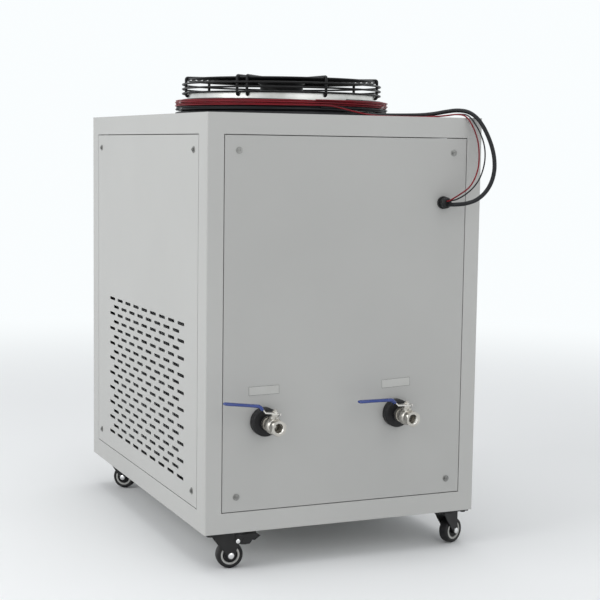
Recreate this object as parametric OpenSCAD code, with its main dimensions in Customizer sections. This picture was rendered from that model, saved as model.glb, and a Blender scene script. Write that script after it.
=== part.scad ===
// Air-cooled water chiller on casters, with its fan on top and two ball valves on the connection face.
// Millimetres, +Z up. The origin is on the floor at the middle of the machine. +X is to the right when the
// connection face is seen from in front, and that face looks towards -Y.

/* [Cabinet] */
// Width of the cabinet
cab_w = 700; // [680:1:760]
// Depth of the cabinet
cab_d = 960; // [940:1:1040]
// Height of the cabinet without its casters
cab_h = 960; // [940:1:1040]
// Thickness of the folded sheet of the frame
frame_t = 2; // [1.5:0.1:2.4]
// Width of a corner post on the front and rear faces
post_w = 40; // [36:1:44]
// Width of a corner post on the side faces
post_side_w = 56; // [52:1:62]
// Height of the bottom and top rails
rail_h = 48; // [44:1:52]
// Radius of the upright folded edges
edge_r = 3; // [2.5:0.1:4]

/* [Panels] */
// Thickness of the panels
panel_t = 1.5; // [1:0.1:2]
// Depth of a panel's folded rim
rim_depth = 15; // [12:1:18]
// Gap between a panel and the frame
panel_gap = 2; // [1.5:0.1:2.6]
// Distance of a screw from the panel's upright edge
screw_in_x = 34; // [30:1:37]
// Distance of a screw from the panel's level edge
screw_in_z = 34; // [30:1:40]
// Height of the seam between the control door and the service panel, above the cabinet's bottom
seam_z = 510; // [490:1:530]

/* [Air slots] */
// Length of an air slot
slot_len = 50; // [44:1:56]
// Height of an air slot
slot_h = 8; // [6:0.5:9]
// Spacing of the slots along a row
slot_pitch_y = 73; // [70:1:74]
// Spacing of the rows
slot_pitch_z = 20.5; // [18:0.5:22]
// Number of slots in a long row
slots_in_row = 9; // [5:1:9]
// Number of rows
slot_rows = 19; // [5:1:19]
// Height of the lowest row above the cabinet's bottom
slot_z0 = 98; // [92:1:110]

/* [Water connections] */
// Distance of the inlet valve from the left edge of the cabinet
inlet_x = 142; // [138:1:150]
// Distance of the outlet valve from the left edge of the cabinet
outlet_x = 481; // [470:1:492]
// Height of both valves above the cabinet's bottom
valve_h = 257; // [250:1:270]
// Radius of the threaded mouth of a valve
thread_r = 12.06; // [11.8:0.01:12.2]
// Depth of the threaded mouth
thread_len = 16; // [14:1:17]
// Outside radius of the water pipe
pipe_r = 13.45; // [13:0.05:13.6]
// Bore radius of the water pipe
pipe_bore_r = 10.8; // [10:0.1:11.2]
// Radius of the black wall collar
collar_r = 33.5; // [31:0.5:36]
// Thickness of the black wall collar
collar_t = 19; // [17:1:20]
// Distance of a valve's stem from the panel's face
stem_out = 60; // [60:1:62]
// Distance of a valve's mouth from the panel's face
mouth_out = 95; // [95:1:97]
// Length of a valve handle from its stem to its tip
handle_len = 128; // [120:1:135]
// Turn of the inlet valve about its pipe, in degrees
inlet_roll = 7; // [0:1:9]

/* [Fan] */
// Distance of the fan's axis from the connection face
fan_from_face = 418; // [412:1:424]
// Outside radius of the fan ring
ring_r = 242; // [238:1:242]
// Height of the fan ring
ring_h = 57; // [55:1:59]
// Radius of the blade tips
tip_r = 231; // [222:1:232]
// Number of blades
blade_n = 5; // [4:1:7]
// Radius of the fan motor's case
motor_r = 62; // [58:1:64]
// Height of the guard's face above the cabinet
guard_h = 91; // [89:1:94]
// Number of level wires in the guard's face
guard_face_rings = 13; // [8:1:14]
// Number of legs of the guard
guard_legs = 7; // [5:1:8]
// Radius of a guard wire
wire_r = 2; // [1.6:0.1:2.2]
// Radius of a guard arm
arm_r = 3; // [2.6:0.1:3.2]

/* [Casters] */
// Height from the floor to the cabinet's bottom
foot_h = 90; // [89:1:94]
// Radius of a caster wheel
wheel_r = 31.5; // [30:0.5:32]
// Width of a caster wheel
wheel_w = 24; // [22:1:25]
// Distance from the swivel axis to the wheel axle
trail = 20; // [18:1:22]
// Distance of a swivel axis from the side of the cabinet
caster_in_x = 53; // [50:1:56]
// Distance of a front swivel axis from the connection face
caster_front_in_y = 37; // [34:1:42]
// Distance of a rear swivel axis from the rear face
caster_rear_in_y = 75; // [60:1:90]

/* [Cables] */
// Diameter of the power cable
cable_d = 10; // [9.6:0.1:10]
// Diameter of each signal wire
wire_d = 3.5; // [3:0.1:3.5]

/* [Hidden] */
$fn = 48;

// Shared clearances and overruns
cut = 1;              // overrun of a cut past a face
run_gap = 0.05;       // radial clearance of a running fit
seat_gap = 0.3;       // clearance between pieces that move past each other
fit_gap = 0.25;       // radial clearance of a fixed piece in its hole
weld = 0.6;           // depth to which welded wires sink into each other

// The cabinet's faces
rear_reach = 25;      // how far the door latch stands out
x_side = cab_w / 2;
y_front = mouth_out - (cab_d + rear_reach + mouth_out) / 2;
y_rear = y_front + cab_d;
z_bottom = foot_h;
z_top = foot_h + cab_h;
z_floor = z_bottom + frame_t;
z_rail = z_bottom + rail_h;
z_header = z_top - rail_h;
ledge_w = 46;         // width of a post's inner ledge

// Panels and screws
panel_w = cab_w - 2 * post_w - 2 * panel_gap;
side_panel_w = cab_d - 2 * post_side_w - 2 * panel_gap;
panel_z0 = z_rail + panel_gap;
panel_z1 = z_header - panel_gap;
screw_r = 2.5;
screw_len = 19;
screw_head_r = 5;
screw_head_h = 3;
washer_r = 8;
washer_t = 1.2;
recess_w = 1.3;
recess_d = 1.6;
seam_gap = 4;

// Slots
slot_shift = 11;
slot_y_mid = (y_front + y_rear) / 2 - slot_shift;

// Fan
fan_y = y_front + fan_from_face;
ring_t = 2;
throat_lip = 6;
hole_r = ring_r - throat_lip;
blade_z0 = 6;
blade_z1 = 48;
blade_t = 3;
blade_tilt = 24;
blade_chord = 120;
hub_wall = 4;
hub_z1 = 66;
shaft_r = 8;
stator_gap = 3;
flange_r = 66;
flange_t = 8;
guard_plate_r = 60;
guard_plate_t = 3;
guard_side_rings = 3;
guard_side_pitch = 11.5;
leg_foot_z = 49;
leg_out = 5.4;
leg_r_at = ring_r + leg_out;
view_turn = -112.5;   // turn of the guard's first arm
guard_twin_turn = 3;

// Water side
valve_z = z_bottom + valve_h;
port_r = 9.5;
ball_r = 14;
body_r = 18.5;
body_behind_stem = 33;
body_back = stem_out - body_behind_stem;
hex_af = 34;
hex_len = 14;
bonnet_r = 8;
bonnet_h = 27;
stem_r = 4;
stem_top = 38;
nut_h = 4;
nut_af = 11;
handle_t = 2.6;
handle_w = 14;
handle_flat = 26;
handle_rise = 14;
handle_slope = 14;
grip_t = 8;
grip_w = 18;
tang_w = 4;

// Tank and machinery
tank_left_share = 0.1286;     // shares of the cabinet's width or depth, from its left side or connection
                              // face, rounded to whole millimetres where they are used
tank_right_share = 0.8286;
tank_front_share = 0.094;
tank_rear_share = 0.448;
fin_front_share = 0.156;
fin_rear_share = 0.823;
comp_x_share = 0.671;
comp_y_share = 0.62;
pump_x_share = 0.3;
drier_x_share = 0.529;
tank_x0 = -x_side + round(tank_left_share * cab_w);
tank_x1 = -x_side + round(tank_right_share * cab_w);
tank_y0 = y_front + round(tank_front_share * cab_d);
tank_y1 = y_front + round(tank_rear_share * cab_d);
tank_h = 396;
tank_wall = 3;
tank_z1 = z_floor + tank_h;
tube_r = 8;
evap_y = (tank_y0 + tank_y1) / 2;
evap_passes = 8;
evap_pitch = 34;
evap_in = 70;
evap_riser_in = 20;
evap_lift = 68;
evap_out = 50;
evap_x0 = tank_x0 + evap_in;
evap_x1 = tank_x1 - evap_in;
evap_riser_x = tank_x0 + evap_riser_in;
evap_z0 = z_floor + evap_lift;
evap_top = tank_z1 + evap_out;
liquid_shift = 45;
line_r = 6;
suction_r = 9.5;
fin_depth = 44;
fin_out = x_side - rim_depth - frame_t;
fin_y0 = y_front + round(fin_front_share * cab_d);
fin_y1 = y_front + round(fin_rear_share * cab_d);
fin_h = 488;
fin_pitch = 16;
fin_t = 4;
fin_web = 4;
coil_passes = 12;
coil_pitch = 38;
coil_tube_r = 6;
coil_lift = 34;
coil_z0 = z_floor + coil_lift;
coil_x = fin_out - fin_depth / 2;
header_gap = 23;
header_y = fin_y1 + header_gap;
header_drop = 50;
comp_x = -x_side + round(comp_x_share * cab_w);
comp_y = y_front + round(comp_y_share * cab_d);
comp_r = 95;
comp_h = 320;
comp_wall = 4;
comp_base_t = 4;
comp_base = 210;
foot_rubber_h = 22;
foot_rubber_r = 16;
foot_bolt_r = 4;
stub_h = 38;
stub_z = z_floor + foot_rubber_h + comp_h + stub_h;
stub_spread = 30;
stub_suction = [comp_x + stub_spread, comp_y];
stub_shift = 35;
stub_discharge = [comp_x - stub_shift, comp_y - stub_spread];
line_rise = 34;
line_z = evap_top + line_rise;
pump_lift = 80;
pump_gap = 65;
pump_x = -x_side + round(pump_x_share * cab_w);
pump_z = z_floor + pump_lift;
pump_y0 = tank_y1 + pump_gap;
casing_r = 62;
casing_len = 40;
casing_wall = 7;
casing_neck = 14;
casing_neck_wall = 3;
impeller_r = 46;
pump_motor_r = 58;
pump_motor_len = 170;
terminal_rise = 20;
drier_x = -x_side + round(drier_x_share * cab_w);
drier_r = 28;
drier_len = 120;
drier_lift = 208;
drier_z0 = z_floor + drier_lift;
liquid_r = 5;
liquid_rise = 26;
hot_rise = 76;
liquid_z = line_z + liquid_rise;
hot_z = line_z + hot_rise;
supply_in = 45;
supply_rise = 34;
supply_y = y_front + supply_in;
supply_z = tank_z1 + supply_rise;

// Control side
plate_low = 560;
plate_high = 880;
plate_in = 100;
plate_z0 = z_bottom + plate_low;
plate_z1 = z_bottom + plate_high;
bar_h = 12;
bar_d = 24;
bar_y = y_rear - plate_in;
plate_w = 460;
plate_t = 2;
gear_n = 4;
gear_w = 45;
gear_h = 82;
gear_d = 58;
gear_pitch = 62;
hinge_r = 5;
hinge_pin_r = 3;
hinge_x = -x_side + post_w - panel_gap / 2;
hinge_y = y_rear + hinge_r;
hinge_len = 60;
hinge_leaf_w = 24;
hinge_in = 70;
latch_clear = 16;
latch_x = x_side - post_w - ledge_w - latch_clear;
latch_z = (z_bottom + seam_z + z_header) / 2;
latch_knob_r = 14;
latch_shaft_r = 6;
latch_cam_w = 14;
latch_cam_l = 44;
latch_cam_t = 3;
ctrl_x = -80;
ctrl_lift = 800;
ctrl_z = z_bottom + ctrl_lift;
ctrl_w = 78;
ctrl_h = 36;
ctrl_out = 6;
ctrl_in = 60;
lamp_n = 3;
lamp_x = 40;
lamp_pitch = 40;
lamp_r = 8;
lamp_bezel_r = 11;
lamp_out = 9;
lamp_in = 30;
button_lift = 690;
button_z = z_bottom + button_lift;
start_x = -80;
stop_x = -20;
button_r = 11;
button_guard_r = 15;
button_out = 14;
button_travel = 3;

// Casters
caster_plate_x = 92;
caster_plate_y = 64;
caster_plate_t = 4;
bolt_pitch_x = 70;
bolt_pitch_y = 45;
bolt_head_r = 6.5;
bolt_head_h = 3.5;
race_r = 27;
race_h = 4;
king_r = 6;
king_head_r = 9;
fork_t = 2.6;
fork_gap = 2.2;
axle_r = 5;
axle_head_r = 7;
axle_head_h = 3.5;
hub_r = 25;
hub_rim_w = 3.2;
boss_r = 9;
rivet_r = 3;
rivet_head_r = 4.6;
rivet_head_h = 1.6;
pivot_u = 36;
pivot_z = -24.5;
pedal_rivet_u = 53;
pedal_tip_u = 91;
wheel_z = wheel_r - foot_h;
turn_front_left = -5;
turn_front_right = 22;
turn_rear_left = -40;
turn_rear_right = 140;

// Gland
gland_in = 103;
gland_lift = 758;
gland_x = x_side - gland_in;
gland_z = z_bottom + gland_lift;
gland_r = 15;
gland_thread_r = 12.3;
gland_flange_t = 6;
gland_reach = 25;
gland_nut_t = 6;
gland_nut_af = 34;

// Labels
label_w = 77;
label_h = 22;
label_t = 0.8;
label_lift = 72;
label_tilts = [1.2, 2.5];

// Cables and wires. Each list holds the points of the stretch that isn't coiled, from the gland to the pile.
power_route = [
  [249.5, -470, 844.5], [249.5, -482, 844.5], [255, -497, 845.5], [272, -509, 848], [297, -514, 856],
  [321, -514, 873], [339, -511, 896], [350, -506, 923], [354, -499, 951], [352, -491, 979],
  [346, -482, 1005], [338, -471, 1029], [328, -457, 1050], [315, -437, 1064], [300, -411, 1068],
  [283, -385, 1065], [264, -359, 1060], [243, -335, 1057], [218, -315, 1056], [190, -300, 1055.5],
  [160, -290.5, 1055.3], [130, -286, 1055.3], [101, -285.5, 1055.3], [79.8, -287.8, 1055.3],
  [70.2, -289, 1055.3]
];
red_route = [
  [244.5, -470, 852], [244.5, -479, 853], [250, -488, 858.5], [266, -494, 869.5], [287, -498, 885],
  [303, -497, 907], [314, -493, 933], [319, -487, 961], [320, -480, 989], [317, -470, 1015],
  [311, -458, 1038], [303, -444, 1054], [291, -424, 1058], [275, -400, 1055.5], [256, -376, 1053],
  [232, -351, 1052.3], [203, -331, 1052.3], [171, -318, 1052.3], [139, -309, 1053.5], [107, -304, 1057],
  [74, -302.5, 1063], [41, -301.5, 1070], [12, -302.3, 1074.5], [-13.3, -300.4, 1075.3],
  [-23.7, -298, 1075.3]
];
black_route = [
  [250.5, -470, 853.5], [250.5, -480, 854], [258.5, -492, 857.5], [275, -500, 868], [294, -502, 883],
  [312, -501, 904], [325, -497, 929], [333, -491, 957], [334, -484, 985], [329, -474, 1012],
  [320, -461, 1037], [309, -446, 1055.5], [296, -422, 1058.5], [281, -394, 1055.5], [264, -369, 1053],
  [240, -345, 1052.3], [210, -325, 1052.3], [177, -311.5, 1052.3], [143, -302, 1053], [110, -297, 1056],
  [76, -296.3, 1061.5], [43, -297.8, 1065], [14, -302, 1066], [0.5, -300.6, 1066],
  [-9.5, -298.9, 1066]
];
coil_gap = 0.6;
coil_step = cable_d + coil_gap;
wire_step = wire_d + coil_gap;
rest_gap = 0.3;
coil_clear = 3;
coil_in_r = ring_r + coil_clear + cable_d / 2;
coil_out_r = coil_in_r + 2 * coil_step;
power_start = -75;
red_start = -95;
black_start = -92;
wire_in_r = coil_in_r + coil_step + cable_d / 2 + coil_gap + wire_d / 2;
loop_rings = 24;
loop_sides = 6;
tube_sides = 8;
red_lift = 25.3;
black_lift = 16;

// Helpers

module tube_along(points, r) {
  for (i = [0 : len(points) - 2]) {
    a = points[i];
    d = points[i + 1] - a;
    length = norm(d);
    translate(a)
      rotate([0, acos(d.z / length), atan2(d.y, d.x)])
        cylinder(r = r, h = length);
    if (i > 0)
      translate(a)
        sphere(r = r);
  }
}

function along(a, b, past) = b + (b - a) / norm(b - a) * past;

// The same points with both ends pushed outwards by past
function stretched(points, past) = [
  for (i = [0 : len(points) - 1])
    i == 0 ? along(points[1], points[0], past)
    : i == len(points) - 1 ? along(points[i - 1], points[i], past) : points[i]
];

module pipe_along(points, r, bore) {
  difference() {
    tube_along(points, r);
    tube_along(stretched(points, cut), bore);
  }
}

module ring_wire(r, wire) {
  rotate_extrude($fn = 96)
    translate([r - wire, -wire])
      square(2 * wire);
}

module each_corner() {
  for (sx = [0, 1])
    for (sy = [0, 1])
      translate([0, (y_front + y_rear) / 2, 0])
        mirror([sx, 0, 0])
          mirror([0, sy, 0])
            translate([-x_side, -cab_d / 2, 0])
              children();
}

module cabinet_outline(inset) {
  r = max(edge_r - inset, frame_t / 2);
  w = cab_w - 2 * inset;
  d = cab_d - 2 * inset;
  translate([-w / 2, y_front + inset]) {
    translate([r, 0])
      square([w - 2 * r, d]);
    translate([0, r])
      square([w, d - 2 * r]);
    for (x = [r, w - r])
      for (y = [r, d - r])
        translate([x, y])
          circle(r = r);
  }
}

// Draws its children on an upright plate across the cabinet, with u to the right and v up
module on_front(y, t) {
  translate([0, y + t, 0])
    rotate([90, 0, 0])
      linear_extrude(t)
        children();
}

// The same on a plate along the cabinet's side, with u along +Y
module on_side(x, t) {
  translate([x, 0, 0])
    rotate([90, 0, 90])
      linear_extrude(t)
        children();
}

// Frame

module base_tray() {
  color("gainsboro")
    translate([0, 0, z_bottom])
      difference() {
        linear_extrude(rail_h)
          cabinet_outline(0);
        translate([0, 0, frame_t])
          linear_extrude(rail_h)
            cabinet_outline(frame_t);
      }
}

module post_profile() {
  back = rim_depth + frame_t;
  intersection() {
    union() {
      square([post_w, frame_t]);
      square([frame_t, post_side_w]);
      translate([post_w - frame_t, 0])
        square([frame_t, back]);
      translate([post_w - frame_t, back - frame_t])
        square([ledge_w + frame_t, frame_t]);
      translate([0, post_side_w - frame_t])
        square([back, frame_t]);
      translate([back - frame_t, post_side_w - frame_t])
        square([frame_t, ledge_w + frame_t]);
    }
    union() {
      translate([edge_r, edge_r])
        circle(r = edge_r);
      translate([edge_r, 0])
        square(post_side_w + ledge_w);
      translate([0, edge_r])
        square(post_side_w + ledge_w);
    }
  }
}

// Where the screws stand in a post, as distances from the cabinet's corner and heights
screw_u_front = post_w + panel_gap + screw_in_x;
screw_u_side = post_side_w + panel_gap + screw_in_x;
screw_heights = [panel_z0 + screw_in_z, panel_z1 - screw_in_z];
service_screw_z = z_bottom + seam_z - seam_gap / 2 - screw_in_z;

module corner_posts() {
  color("gainsboro")
    each_corner()
      difference() {
        translate([0, 0, z_rail])
          linear_extrude(z_header - z_rail)
            post_profile();
        for (z = concat(screw_heights, service_screw_z)) {
          translate([screw_u_front, 0, z])
            rotate([-90, 0, 0])
              cylinder(r = screw_r + fit_gap, h = rim_depth + frame_t + cut);
          translate([0, screw_u_side, z])
            rotate([0, 90, 0])
              cylinder(r = screw_r + fit_gap, h = rim_depth + frame_t + cut);
        }
      }
}

module top_frame() {
  color("gainsboro")
    translate([0, 0, z_header])
      difference() {
        linear_extrude(rail_h - frame_t)
          cabinet_outline(0);
        translate([0, 0, -cut])
          linear_extrude(rail_h + cut)
            cabinet_outline(frame_t);
      }
}

module top_panel() {
  color("gainsboro")
    translate([0, 0, z_top - frame_t])
      linear_extrude(frame_t)
        difference() {
          cabinet_outline(0);
          translate([0, fan_y])
            circle(r = hole_r, $fn = 96);
        }
}

// Panels

module rimmed_panel(w, h, holes) {
  difference() {
    translate([-w / 2, 0, 0])
      cube([w, rim_depth, h]);
    translate([-w / 2 + panel_t, panel_t, panel_t])
      cube([w - 2 * panel_t, rim_depth, h - 2 * panel_t]);
    for (p = holes)
      translate([p[0], -cut, p[1]])
        rotate([-90, 0, 0])
          cylinder(r = p[2], h = panel_t + 2 * cut);
  }
}

screw_hole_r = screw_r + fit_gap;
front_screw_x = panel_w / 2 - screw_in_x;
side_screw_x = side_panel_w / 2 - screw_in_x;
panel_h = panel_z1 - panel_z0;

function screw_holes(x, h) = [
  for (sx = [-x, x])
    for (z = [screw_in_z, h - screw_in_z])
      [sx, z, screw_hole_r]
];

module connection_panel() {
  valve_holes = [
    for (x = [inlet_x, outlet_x])
      [x - x_side, valve_z - panel_z0, pipe_r + fit_gap]
  ];
  gland_hole = [[gland_x, gland_z - panel_z0, gland_thread_r + fit_gap]];
  color("silver")
    translate([0, y_front, panel_z0])
      rimmed_panel(panel_w, panel_h, concat(screw_holes(front_screw_x, panel_h), valve_holes, gland_hole));
}

module air_slot() {
  r = slot_h / 2;
  translate([-slot_len / 2 + r, -r])
    square([slot_len - slot_h, slot_h]);
  for (s = [-1, 1])
    translate([s * (slot_len / 2 - r), 0])
      circle(r = r, $fn = 24);
}

module slot_pattern() {
  for (row = [0 : slot_rows - 1]) {
    count = slots_in_row - row % 2;
    for (k = [0 : count - 1])
      translate([(k - (count - 1) / 2) * slot_pitch_y, z_bottom + slot_z0 + row * slot_pitch_z])
        air_slot();
  }
}

module side_panel() {
  y_mid = (y_front + y_rear) / 2;
  difference() {
    translate([-x_side, y_mid, panel_z0])
      rotate([0, 0, -90])
        rimmed_panel(side_panel_w, panel_h, screw_holes(side_screw_x, panel_h));
    translate([0, slot_y_mid, 0])
      on_side(-x_side - cut, panel_t + 2 * cut)
        slot_pattern();
  }
}

module left_side_panel() {
  color("gainsboro")
    side_panel();
}

module right_side_panel() {
  color("gainsboro")
    mirror([1, 0, 0])
      side_panel();
}

service_h = z_bottom + seam_z - seam_gap / 2 - panel_z0;

module service_panel() {
  color("silver")
    translate([0, y_rear, panel_z0])
      rotate([0, 0, 180])
        rimmed_panel(panel_w, service_h, screw_holes(front_screw_x, service_h));
}

module pan_head_screw() {
  difference() {
    rotate_extrude($fn = 32) {
      square([screw_r, screw_len]);
      translate([0, -washer_t])
        square([washer_r, washer_t]);
      translate([0, -washer_t - screw_head_h + screw_r / 2])
        square([screw_head_r, screw_head_h - screw_r / 2]);
      translate([0, -washer_t - screw_head_h])
        square([screw_head_r - screw_r / 2, screw_head_h]);
    }
    for (a = [0, 90])
      rotate([0, 0, a])
        translate([-screw_head_r / 2, -recess_w / 2, -washer_t - screw_head_h - cut])
          cube([screw_head_r, recess_w, recess_d + cut]);
  }
}

module panel_screws() {
  color("lightgray") {
    for (x = [-front_screw_x, front_screw_x]) {
      for (z = screw_heights)
        translate([x, y_front, z])
          rotate([-90, 0, 0])
            pan_head_screw();
      for (z = [screw_heights[0], service_screw_z])
        translate([x, y_rear, z])
          rotate([90, 0, 0])
            pan_head_screw();
    }
    for (y = [-side_screw_x, side_screw_x])
      for (z = screw_heights)
        for (m = [0, 1])
          mirror([m, 0, 0])
            translate([-x_side, (y_front + y_rear) / 2 + y, z])
              rotate([0, 90, 0])
                pan_head_screw();
  }
}

// Control side

door_z0 = z_bottom + seam_z + seam_gap / 2;
door_h = panel_z1 - door_z0;
lamp_xs = [for (k = [0 : lamp_n - 1]) lamp_x + k * lamp_pitch];
hinge_zs = [door_z0 + hinge_in, panel_z1 - hinge_in];

module control_door() {
  round_holes = concat(
    [for (x = lamp_xs) [-x, ctrl_z - door_z0, lamp_r + fit_gap]],
    [for (x = [start_x, stop_x]) [-x, button_z - door_z0, button_r]],
    [[-latch_x, latch_z - door_z0, latch_shaft_r + run_gap]]
  );
  color("silver") {
    difference() {
      translate([0, y_rear, door_z0])
        rotate([0, 0, 180])
          rimmed_panel(panel_w, door_h, round_holes);
      translate([ctrl_x - ctrl_w / 2, y_rear - rim_depth, ctrl_z - ctrl_h / 2])
        cube([ctrl_w, rim_depth + cut, ctrl_h]);
    }
    for (x = [start_x, stop_x])
      translate([x, y_rear, button_z])
        rotate([-90, 0, 0])
          difference() {
            cylinder(r = button_guard_r, h = button_out - button_travel);
            translate([0, 0, -cut])
              cylinder(r = button_r, h = button_out + cut);
          }
    for (z = hinge_zs)
      difference() {
        union() {
          translate([hinge_x, y_rear, z - hinge_len / 6])
            cube([hinge_leaf_w, frame_t, hinge_len / 3]);
          translate([hinge_x, hinge_y, z - hinge_len / 6])
            cylinder(r = hinge_r, h = hinge_len / 3);
        }
        translate([hinge_x, hinge_y, z - hinge_len])
          cylinder(r = hinge_pin_r + run_gap, h = 2 * hinge_len);
      }
  }
}

module door_hinges() {
  color("dimgray")
    for (z = hinge_zs)
      difference() {
        union() {
          translate([hinge_x, hinge_y, z - hinge_len / 2])
            cylinder(r = hinge_pin_r, h = hinge_len);
          for (s = [-1, 1])
            translate([0, 0, z + s * (hinge_len / 3 + seat_gap / 2) - hinge_len / 6]) {
              translate([hinge_x, hinge_y, 0])
                cylinder(r = hinge_r, h = hinge_len / 3 - seat_gap);
              translate([hinge_x - hinge_leaf_w, y_rear, 0])
                cube([hinge_leaf_w, frame_t, hinge_len / 3 - seat_gap]);
            }
        }
      }
}

module door_latch() {
  color("dimgray")
    translate([latch_x, y_rear, latch_z]) {
      rotate([-90, 0, 0]) {
        translate([0, 0, seat_gap])
          cylinder(r = latch_knob_r, h = frame_t * 2);
        translate([0, 0, -rim_depth - frame_t - seat_gap - latch_cam_t])
          cylinder(r = latch_shaft_r, h = rim_depth + latch_cam_t + 3 * frame_t);
      }
      translate([-latch_shaft_r / 2, 0, -latch_knob_r])
        cube([latch_shaft_r, rear_reach, 2 * latch_knob_r]);
      translate([-latch_cam_w / 2, -rim_depth - frame_t - seat_gap - latch_cam_t, 0])
        cube([latch_cam_w, latch_cam_t, latch_cam_l]);
    }
}

module controller() {
  color("black")
    translate([ctrl_x, y_rear, ctrl_z]) {
      translate([-ctrl_w / 2 + fit_gap, -ctrl_in, -ctrl_h / 2 + fit_gap])
        cube([ctrl_w - 2 * fit_gap, ctrl_in, ctrl_h - 2 * fit_gap]);
      translate([-ctrl_w / 2 - frame_t, 0, -ctrl_h / 2 - frame_t])
        cube([ctrl_w + 2 * frame_t, ctrl_out, ctrl_h + 2 * frame_t]);
    }
}

module lamps() {
  color("limegreen")
    for (x = lamp_xs)
      translate([x, y_rear, ctrl_z])
        rotate([-90, 0, 0]) {
          translate([0, 0, -lamp_in])
            cylinder(r = lamp_r, h = lamp_in);
          cylinder(r = lamp_bezel_r, h = lamp_out / 3);
          cylinder(r = lamp_r, h = lamp_out);
        }
}

module push_button(x) {
  translate([x, y_rear, button_z])
    rotate([-90, 0, 0]) {
      translate([0, 0, -button_travel * 2])
        cylinder(r = button_r - seat_gap, h = button_out + button_travel * 2);
      translate([0, 0, -lamp_in])
        cylinder(r = button_r - 2 * frame_t, h = lamp_in);
    }
}

module start_button() {
  color("green")
    push_button(start_x);
}

module stop_button() {
  color("red")
    push_button(stop_x);
}

module electrical_plate() {
  reach = x_side - rim_depth - frame_t;
  color("lightsteelblue") {
    for (z = [plate_z0, plate_z1])
      translate([-reach, bar_y, z])
        cube([2 * reach, bar_d, bar_h]);
    translate([-plate_w / 2, bar_y - plate_t, plate_z0])
      cube([plate_w, plate_t, plate_z1 - plate_z0 + bar_h]);
    for (k = [0 : gear_n - 1])
      translate([(k - (gear_n - 1) / 2) * gear_pitch - gear_w / 2, bar_y, plate_z0 + bar_h * 2])
        cube([gear_w, gear_d, gear_h]);
  }
}

// Fan

module at_fan() {
  translate([0, fan_y, z_top])
    children();
}

module fan_ring() {
  color("lightgray")
    at_fan()
      rotate_extrude($fn = 96) {
        translate([ring_r - ring_t, 0])
          square([ring_t, ring_h]);
        translate([ring_r - 3 * ring_t, ring_h - ring_t])
          square([3 * ring_t, ring_t]);
      }
}

guard_arm_z = guard_h + wire_r + arm_r - weld;
guard_pitch = (ring_r - guard_plate_r) / guard_face_rings;

module guard_arm() {
  rotate([0, 0, view_turn - 180 / guard_legs])
    translate([0, -arm_r, 0]) {
      translate([guard_plate_r, 0, guard_arm_z - arm_r])
        cube([leg_r_at + arm_r - guard_plate_r, 2 * arm_r, 2 * arm_r]);
      translate([leg_r_at - arm_r, 0, leg_foot_z - arm_r])
        cube([2 * arm_r, 2 * arm_r, guard_arm_z - leg_foot_z + arm_r]);
      translate([ring_r - arm_r, 0, leg_foot_z - arm_r])
        cube([leg_r_at - ring_r + arm_r, 2 * arm_r, 2 * arm_r]);
    }
}

module fan_guard() {
  color("#1c1c1c")
    at_fan()
      difference() {
        union() {
          for (k = [1 : guard_face_rings])
            translate([0, 0, guard_h])
              ring_wire(guard_plate_r + k * guard_pitch, wire_r);
          for (k = [0 : guard_side_rings - 1])
            translate([0, 0, guard_h - guard_side_pitch * (k + 1)])
              ring_wire(leg_r_at + arm_r + wire_r - weld, wire_r);
          for (k = [0 : guard_legs - 1])
            rotate([0, 0, k * 360 / guard_legs])
              guard_arm();
          rotate([0, 0, 2 * guard_twin_turn])
            guard_arm();
          translate([0, 0, guard_arm_z - guard_plate_t])
            cylinder(r = guard_plate_r + 2 * arm_r, h = guard_plate_t + weld);
        }
        cylinder(r = ring_r, h = ring_h);
      }
}

module fan_motor() {
  z_flange = guard_arm_z - guard_plate_t - flange_t;
  stator_r = motor_r - hub_wall - stator_gap;
  color("#303030")
    at_fan()
      difference() {
        union() {
          translate([0, 0, z_flange])
            cylinder(r = min(flange_r, guard_plate_r), h = flange_t);
          translate([0, 0, blade_z0 + hub_wall + stator_gap])
            cylinder(r = stator_r, h = z_flange - blade_z0 - hub_wall - stator_gap);
          translate([0, 0, blade_z0])
            cylinder(r = shaft_r, h = z_flange - blade_z0);
        }
      }
}

module fan_rotor() {
  color("#404040")
    at_fan()
      difference() {
        union() {
          translate([0, 0, blade_z0])
            cylinder(r = motor_r, h = hub_z1 - blade_z0);
          for (k = [0 : blade_n - 1])
            rotate([0, 0, k * 360 / blade_n])
              intersection() {
                translate([motor_r - hub_wall / 2, 0, (blade_z0 + blade_z1) / 2])
                  rotate([blade_tilt, 0, 0])
                    translate([0, -blade_chord / 2, -blade_t / 2])
                      cube([tip_r, blade_chord, blade_t]);
                translate([0, 0, blade_z0])
                  cylinder(r = tip_r, h = blade_z1 - blade_z0);
              }
        }
        translate([0, 0, blade_z0 + hub_wall])
          cylinder(r = motor_r - hub_wall, h = hub_z1);
        translate([0, 0, blade_z0 - cut])
          cylinder(r = shaft_r + run_gap, h = hub_z1);
      }
}

// Refrigeration

module both_sides() {
  for (m = [0, 1])
    mirror([m, 0, 0])
      children();
}

module condenser_fins() {
  fin_count = floor((fin_y1 - fin_y0 - fin_t) / fin_pitch);
  color("gray")
    both_sides()
      difference() {
        translate([-fin_out, fin_y0, z_floor])
          cube([fin_depth, fin_y1 - fin_y0, fin_h]);
        for (k = [0 : fin_count - 1])
          for (x = [-fin_out - cut, -coil_x + fin_web / 2])
            translate([x, fin_y0 + fin_t + k * fin_pitch, z_floor + fin_t])
              cube([fin_depth / 2 - fin_web / 2 + cut, fin_pitch - fin_t, fin_h - 2 * fin_t]);
      }
}

module u_bend(r_bend, r_tube) {
  rotate([90, 0, 90])
    rotate_extrude(angle = 180)
      translate([r_bend, 0])
        circle(r = r_tube, $fn = 24);
}

function coil_z(k) = coil_z0 + k * coil_pitch;

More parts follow.
